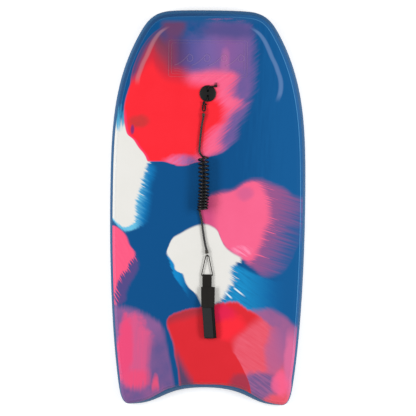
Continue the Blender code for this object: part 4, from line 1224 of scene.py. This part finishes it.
bm = bmesh.new()
inside = bm.verts.layers.float.new("inside")
ridge(bm, round_frame(0, 0.006), 0.0026, 0.0010, True)
ridge(bm, round_frame(FRAME_GAP, 0.004), 0.0020, 0.0008, True)
for left in (-0.092, -0.047, -0.002, 0.043):
    ridge(bm, wave(left, 0.374), 0.0042, 0.0014, False)
for low in (0.3575, 0.364):
    ridge(bm, [Vector((-0.092 + 0.0024 * k, low + 0.0016 * sin(k * 0.55)))
               for k in range(73)], 0.0018, 0.0005, False)
for v in bm.verts:
    v[inside] = 0.1                  # far enough in to take the painted highlight of the badge's raised lines
piece("raised_deck_badge", bm, deck_print_and_painted_light, "board", sharp=60)


# ------------------------------------------------------------- the leash's plug
# Moulded black plastic. A domed cap drops into a hole in the deck skin, and its
# stem screws into a nut that is let into the slick. The string runs through a
# slot across the cap, under a bridge.

BOSS_R = 0.0186
STEM_R = 0.0070
SLOT_HALF_WIDTH = 0.0026
SLOT_HALF_LENGTH = 0.0165
BRIDGE_HALF = 0.0044
NUT_R = 0.0200
NUT_FLANGE = 0.0035
NUT_WALL = 0.0032
COIN_SLOT_WIDTH = 0.0030
COIN_SLOT_LENGTH = 0.0240
COIN_SLOT_DEPTH = 0.0015
plug_deck = deck_z(PLUG.x, PLUG.y)
nut_low = slick_z(PLUG.y) + GAP
nut_top = nut_low + NUT_FLANGE
tube_top = plug_deck - DECK_SKIN - 0.0015
tube_r = STEM_R + GAP + NUT_WALL


def box(low, high):
    """A bare block between two corners."""
    bm = bmesh.new()
    bmesh.ops.create_cube(bm, size=1)
    bmesh.ops.scale(bm, vec=high - low, verts=bm.verts)
    bmesh.ops.translate(bm, vec=(low + high) / 2, verts=bm.verts)
    return shape("box", bm)


plug_plastic, place = new_finish("black plug plastic", {"Specular IOR Level": 0.3})
grain = place.noise(1500.0, 3.0)
dress(plug_plastic, {
    "Base Color": place.noise(60.0).between(tint("0b0a0a"), tint("151413")),
    "Roughness": 0.34 + 0.16 * grain, "Normal": grain.bump(0.2, 0.0001)})

under_rim = plug_deck + GAP
boss_low = under_rim - DECK_SKIN
stem_low = nut_top + 0.003
bm = lathe([
    (0, stem_low), (STEM_R, stem_low), (STEM_R, boss_low), (BOSS_R, boss_low),
    (BOSS_R, under_rim), (CAP_R - 0.0004, under_rim), (CAP_R, under_rim + 0.0004),
    (CAP_R, plug_deck + CAP_RIM - 0.0008),
    (CAP_R - 0.0003, plug_deck + CAP_RIM - 0.0002)] + [
    (r, plug_deck + dome(r)) for r in [
        (CAP_R - 0.0008) * (1 - k / 16) for k in range(17)]], 96)
bmesh.ops.translate(bm, vec=PLUG, verts=bm.verts)
plug_cap = piece("plug_cap_moulding", bm, plug_plastic, "board", ["plug_cap"])
# the two notches, and the tunnel under the bridge
cut(plug_cap, [
    box(PLUG + Vector((-SLOT_HALF_WIDTH, low_y, plug_deck - SLOT_FLOOR)),
        PLUG + Vector((SLOT_HALF_WIDTH, high_y, plug_deck + top)))
    for low_y, high_y, top in (
        (-SLOT_HALF_LENGTH, -BRIDGE_HALF, 2 * CAP_DOME),
        (BRIDGE_HALF, SLOT_HALF_LENGTH, 2 * CAP_DOME),
        (-BRIDGE_HALF - 0.001, BRIDGE_HALF + 0.001,
         STRING_D + 4 * GAP - SLOT_FLOOR))])

bm = lathe([
    (0, nut_low), (NUT_R - 0.0005, nut_low), (NUT_R, nut_low + 0.0005),
    (NUT_R, nut_top), (tube_r, nut_top), (tube_r, tube_top),
    (STEM_R + GAP, tube_top), (STEM_R + GAP, nut_top), (0, nut_top)], 96)
bmesh.ops.translate(bm, vec=PLUG, verts=bm.verts)
plug_nut = piece("plug_nut_moulding", bm, plug_plastic, "board", ["plug_nut"])
cut(plug_nut, [box(
    PLUG + Vector((-COIN_SLOT_LENGTH / 2, -COIN_SLOT_WIDTH / 2, nut_low - 0.001)),
    PLUG + Vector((COIN_SLOT_LENGTH / 2, COIN_SLOT_WIDTH / 2,
                   nut_low + COIN_SLOT_DEPTH)))])


def drill(radius, low, high):
    """A bare cylinder on the plug's axis. Its walls count as inside the edge."""
    bm = lathe([(0, low), (radius, low), (radius, high), (0, high)], 96)
    bmesh.ops.translate(bm, vec=PLUG, verts=bm.verts)
    inside = bm.verts.layers.float.new("inside")
    for v in bm.verts:
        v[inside] = 0.02
    return shape("drill", bm)


cut(deck, [drill(BOSS_R + GAP, plug_deck - 2 * DECK_SKIN, plug_deck + DECK_SKIN)])
cut(slick, [drill(NUT_R + GAP, nut_low - 0.002, nut_top + GAP)])


# --------------------------------------------------------------- the leash's ring
# A triangle of 2.6 mm steel wire, its ends welded in the base. It hangs in the
# lower swivel's eye by its rounded point, and the cuff's tab is looped on it.

RING_WIRE = 0.0026
RING_X = 0.0005
RING_APEX_Y = -0.1255
RING_HALF_BASE = 0.0150
RING_SIDE_HEIGHT = 0.0695
RING_APEX_R = 0.0045
RING_CORNER_R = 0.0025
TAB_THICK = 0.0015


def rounded(corners, radii, steps=12):
    """A closed outline with a round of its own radius at each corner."""
    made = []
    for k, at in enumerate(corners):
        to_last = (corners[k - 1] - at).normalized()
        to_next = (corners[(k + 1) % len(corners)] - at).normalized()
        half = to_last.angle(to_next) / 2
        centre = at + (to_last + to_next).normalized() * radii[k] / sin(half)
        start = at + to_last * radii[k] / tan(half) - centre
        sweep = start.angle_signed(at + to_next * radii[k] / tan(half) - centre)
        for n in range(steps):
            turn = Matrix.Rotation(-sweep * n / (steps - 1), 2)
            made.append(centre + turn @ start)
    return made


half_point = atan2(RING_HALF_BASE, RING_SIDE_HEIGHT)
ring_base_y = RING_APEX_Y + RING_APEX_R * (1 / sin(half_point) - 1) - RING_SIDE_HEIGHT
ring_base_z = THICKNESS + GAP + TAB_THICK + GAP + RING_WIRE / 2
ring_apex_z = THICKNESS + SWIVEL_Z - GAP
outline = rounded(
    [Vector((RING_X - RING_HALF_BASE, ring_base_y)),
     Vector((RING_X, ring_base_y + RING_SIDE_HEIGHT)),
     Vector((RING_X + RING_HALF_BASE, ring_base_y))],
    [RING_CORNER_R, RING_APEX_R, RING_CORNER_R])
ring_steel, place = new_finish("drawn ring wire", {
    "Metallic": 1.0, "Base Color": (0.026, 0.023, 0.019, 1)})
drawn = place.noise(400.0, 3.0)
dress(ring_steel, {
    "Roughness": 0.42 + 0.16 * drawn, "Normal": drawn.bump(0.15, 0.0001)})
wire("triangle_ring", [
    Vector((p.x, p.y, ring_base_z + (ring_apex_z - ring_base_z) * share(
        p.y, ring_base_y, RING_APEX_Y))) for p in outline],
    RING_WIRE, ring_steel, "ring", ["cuff_ring"], cyclic=True)


# ------------------------------------------------------------- the wrist's cuff
# A webbing tab is looped round the ring and sewn to a 3 mm strap of knitted
# nylon. The strap goes round the wrist, its end folded up here, and carries a
# strip of loop tape.

TAB_HALF_WIDTH = 0.0122
TAB_SEWN = 0.028
STRAP_THICK = 0.003
STRAP_HALF_WIDTH = 0.0162
STRAP_X = 0.0032
STRAP_TOP_Y = -0.208
STRAP_END_Y = -0.342
STRAP_LEAN_Y = -0.250
STRAP_LEAN = 0.085
STRAP_FOLD_R = 0.0036
STRAP_OVER_Y = -0.2405
TAPE_THICK = 0.0010
TAPE_WIDTH = 0.0245
FOLD_GAP = 0.0006


def flat(y, z):
    """A place in the plane of Y and Z, Z over the deck."""
    return Vector((y, THICKNESS + z))


def turned_way(path, k):
    """The left-hand normal of a path at one of its places."""
    way = (path[min(k + 1, len(path) - 1)] - path[max(k - 1, 0)]).normalized()
    return Vector((-way.y, way.x))


def over(path, offset):
    """A path moved to its left side, as it runs, by an offset."""
    return [p + turned_way(path, k) * offset for k, p in enumerate(path)]


def strip_section(low_x, high_x, thickness, ribs, relief):
    """A strip's outline as (x, lift): down its left edge, up its right one, and
    back over the ribs of its top face."""
    round_r = 0.45 * thickness
    straight = thickness / 2 - round_r
    made = []
    for side, edge in ((-1, low_x), (1, high_x)):
        for n, lift in enumerate((-1, -1, -1, 0, 1, 1, 1)):
            turn = pi * (1 + side / 2 + n / 6)
            made.append((edge - side * round_r + round_r * cos(turn),
                         side * lift * straight + round_r * sin(turn)))
    for n in range(4 * ribs + 1 if ribs else 0):
        t = n / (4 * ribs)
        made.append((high_x - 2 * round_r + (low_x + 4 * round_r - high_x) * t,
                     thickness / 2 - relief * (0.5 - 0.5 * cos(2 * pi * ribs * t))))
    return made


def ribbon(name, path, thickness, left, right, finish, body, node,
           ribs=0, relief=0.0):
    """A flat strip with round edges along a path, its top face ribbed."""
    sections = []
    for k, p in enumerate(path):
        up = turned_way(path, k) * (0.7 if k in (0, len(path) - 1) else 1.0)
        sections.append([
            Vector((x_at, *(p + up * lift)))
            for x_at, lift in strip_section(
                left(p.x), right(p.x), thickness, ribs, relief)])
    return piece(name, swept(sections), finish, body, [node], 50)


def strap_left(y):
    """The strap's left edge, which leans over towards its folded end."""
    return STRAP_X + STRAP_LEAN * max(0.0, STRAP_LEAN_Y - y) - STRAP_HALF_WIDTH


def strap_right(y):
    return strap_left(y) + 2 * STRAP_HALF_WIDTH


def woven(name, dark, light, rib, pitch, run, push):
    """Cloth with ribs along the strap and threads across it."""
    finish, at = new_finish(name, {"Specular IOR Level": 0.15})
    fuzz = at.noise(1800.0, 3.0)
    weave = (0.5 + 0.25 * run * at.axis(0).wave(rib) + 0.12 * at.axis(1).wave(pitch)
             + 0.5 * (fuzz - 0.5))
    dress(finish, {
        "Base Color": weave.rise(0.1, 0.9).between(tint(dark), tint(light)),
        "Roughness": 0.75 + 0.15 * fuzz, "Normal": weave.bump(push, 0.0003)})
    return finish


webbing_nylon = woven("ribbed nylon webbing", "161413", "2b2825", 0.0031, 0.0012,
                      1.0, 0.6)
strap_cloth = woven("knitted nylon strap", "0f0f0f", "1c1c1c", 0.0012, 0.0012,
                    0.6, 0.5)
loop_cloth = woven("loop pile tape", "242527", "343536", 0.0009, 0.0009, 0.3, 0.8)

back_z = GAP + STRAP_THICK / 2
tab_low_z = GAP + STRAP_THICK + GAP + TAB_THICK / 2
tab_high_z = tab_low_z + TAB_THICK + GAP
bar_z = ring_base_z - THICKNESS
tab_r = RING_WIRE / 2 + GAP + TAB_THICK / 2
tab_end_y = STRAP_TOP_Y - TAB_SEWN
middle_y = (STRAP_TOP_Y + ring_base_y) / 2
tab_path = [
    flat(tab_end_y, tab_low_z), flat(STRAP_TOP_Y - 0.006, tab_low_z),
    flat(STRAP_TOP_Y + 0.003, tab_low_z),
    flat(middle_y, (tab_low_z + bar_z - tab_r) / 2)]
tab_path += [
    flat(ring_base_y + tab_r * sin(a), bar_z - tab_r * cos(a))
    for a in [pi * k / 20 for k in range(21)]]
tab_path += [
    flat(middle_y, (tab_high_z + bar_z + tab_r) / 2),
    flat(STRAP_TOP_Y, tab_high_z), flat(tab_end_y, tab_high_z)]
ribbon("looped_ring_tab", tab_path, TAB_THICK, lambda y: RING_X - TAB_HALF_WIDTH,
       lambda y: RING_X + TAB_HALF_WIDTH, webbing_nylon, "cuff", "ring_tab")

fold_y = STRAP_END_Y + STRAP_FOLD_R + STRAP_THICK / 2
fold_z = back_z + STRAP_FOLD_R
front_z = back_z + STRAP_THICK + FOLD_GAP
strap_back = [
    flat(STRAP_TOP_Y, back_z), flat(STRAP_LEAN_Y, back_z),
    flat((STRAP_LEAN_Y + STRAP_END_Y) / 2, back_z)]
strap_fold = [
    flat(fold_y - STRAP_FOLD_R * sin(a), fold_z - STRAP_FOLD_R * cos(a))
    for a in [pi * k / 18 for k in range(19)]]
strap_front = curve_through([
    flat(y, front_z + lift) for y, lift in (
        (STRAP_END_Y + 0.020, 0.0050), (STRAP_END_Y + 0.040, 0.0050),
        (STRAP_END_Y + 0.060, 0.0040), (STRAP_END_Y + 0.080, 0.0023),
        (STRAP_OVER_Y - 0.0095, 0.0009), (STRAP_OVER_Y, 0))], 8)
strap_path = strap_back + strap_fold + strap_front
cuff_strap = ribbon("folded_cuff_strap", strap_path, STRAP_THICK, strap_left,
                    strap_right, strap_cloth, "cuff", "cuff_strap")

tape_lift = STRAP_THICK / 2 + GAP + TAPE_THICK / 2
tape_start = len(strap_back) + len(strap_fold) // 2
ribbon("loop_tape_strip", over(strap_path, tape_lift)[tape_start:],
       TAPE_THICK, lambda y: strap_left(y) + 0.0005,
       lambda y: strap_left(y) + TAPE_WIDTH, loop_cloth, "cuff", "loop_tape")


# -------------------------------------------------------------- the cuff's flap
# A flap of ribbed webbing is sewn over the tab. It is pressed down onto the
# folded strap, and hook tape sewn under it holds the loop tape.

FLAP_THICK = 0.0024
FLAP_HALF_WIDTH = 0.0182
FLAP_TAPER = 0.0012                  # of the left side; the right has half of it
FLAP_LENGTH = 0.0535
flap_end_y = STRAP_TOP_Y - FLAP_LENGTH
hook_lift = tape_lift + TAPE_THICK + GAP
flap_lift = hook_lift + TAPE_THICK / 2 + GAP + FLAP_THICK / 2
root_z = tab_high_z + TAB_THICK / 2 + GAP + FLAP_THICK / 2
held = [p for p in strap_path[tape_start:] if p.x > flap_end_y - 0.002]


def flap_left(y):
    return STRAP_X - FLAP_HALF_WIDTH + FLAP_TAPER * share(y, STRAP_TOP_Y, flap_end_y)


def flap_right(y):
    return STRAP_X + FLAP_HALF_WIDTH - FLAP_TAPER * share(
        y, STRAP_TOP_Y, flap_end_y) / 2


ribbon("hook_tape_strip", over(held, hook_lift), TAPE_THICK,
       lambda y: strap_left(y) + 0.001,
       lambda y: strap_left(y) + TAPE_WIDTH - 0.0005, loop_cloth, "flap",
       "hook_tape")
flap_path = over(held, flap_lift) + [
    flat(tab_end_y + 0.004, root_z + 0.0014), flat(STRAP_TOP_Y - 0.014, root_z + 0.0002),
    flat(STRAP_TOP_Y, root_z)]
ribbon("webbing_flap", flap_path, FLAP_THICK, flap_left, flap_right,
       webbing_nylon, "flap", "cuff_flap", ribs=9, relief=0.0003)
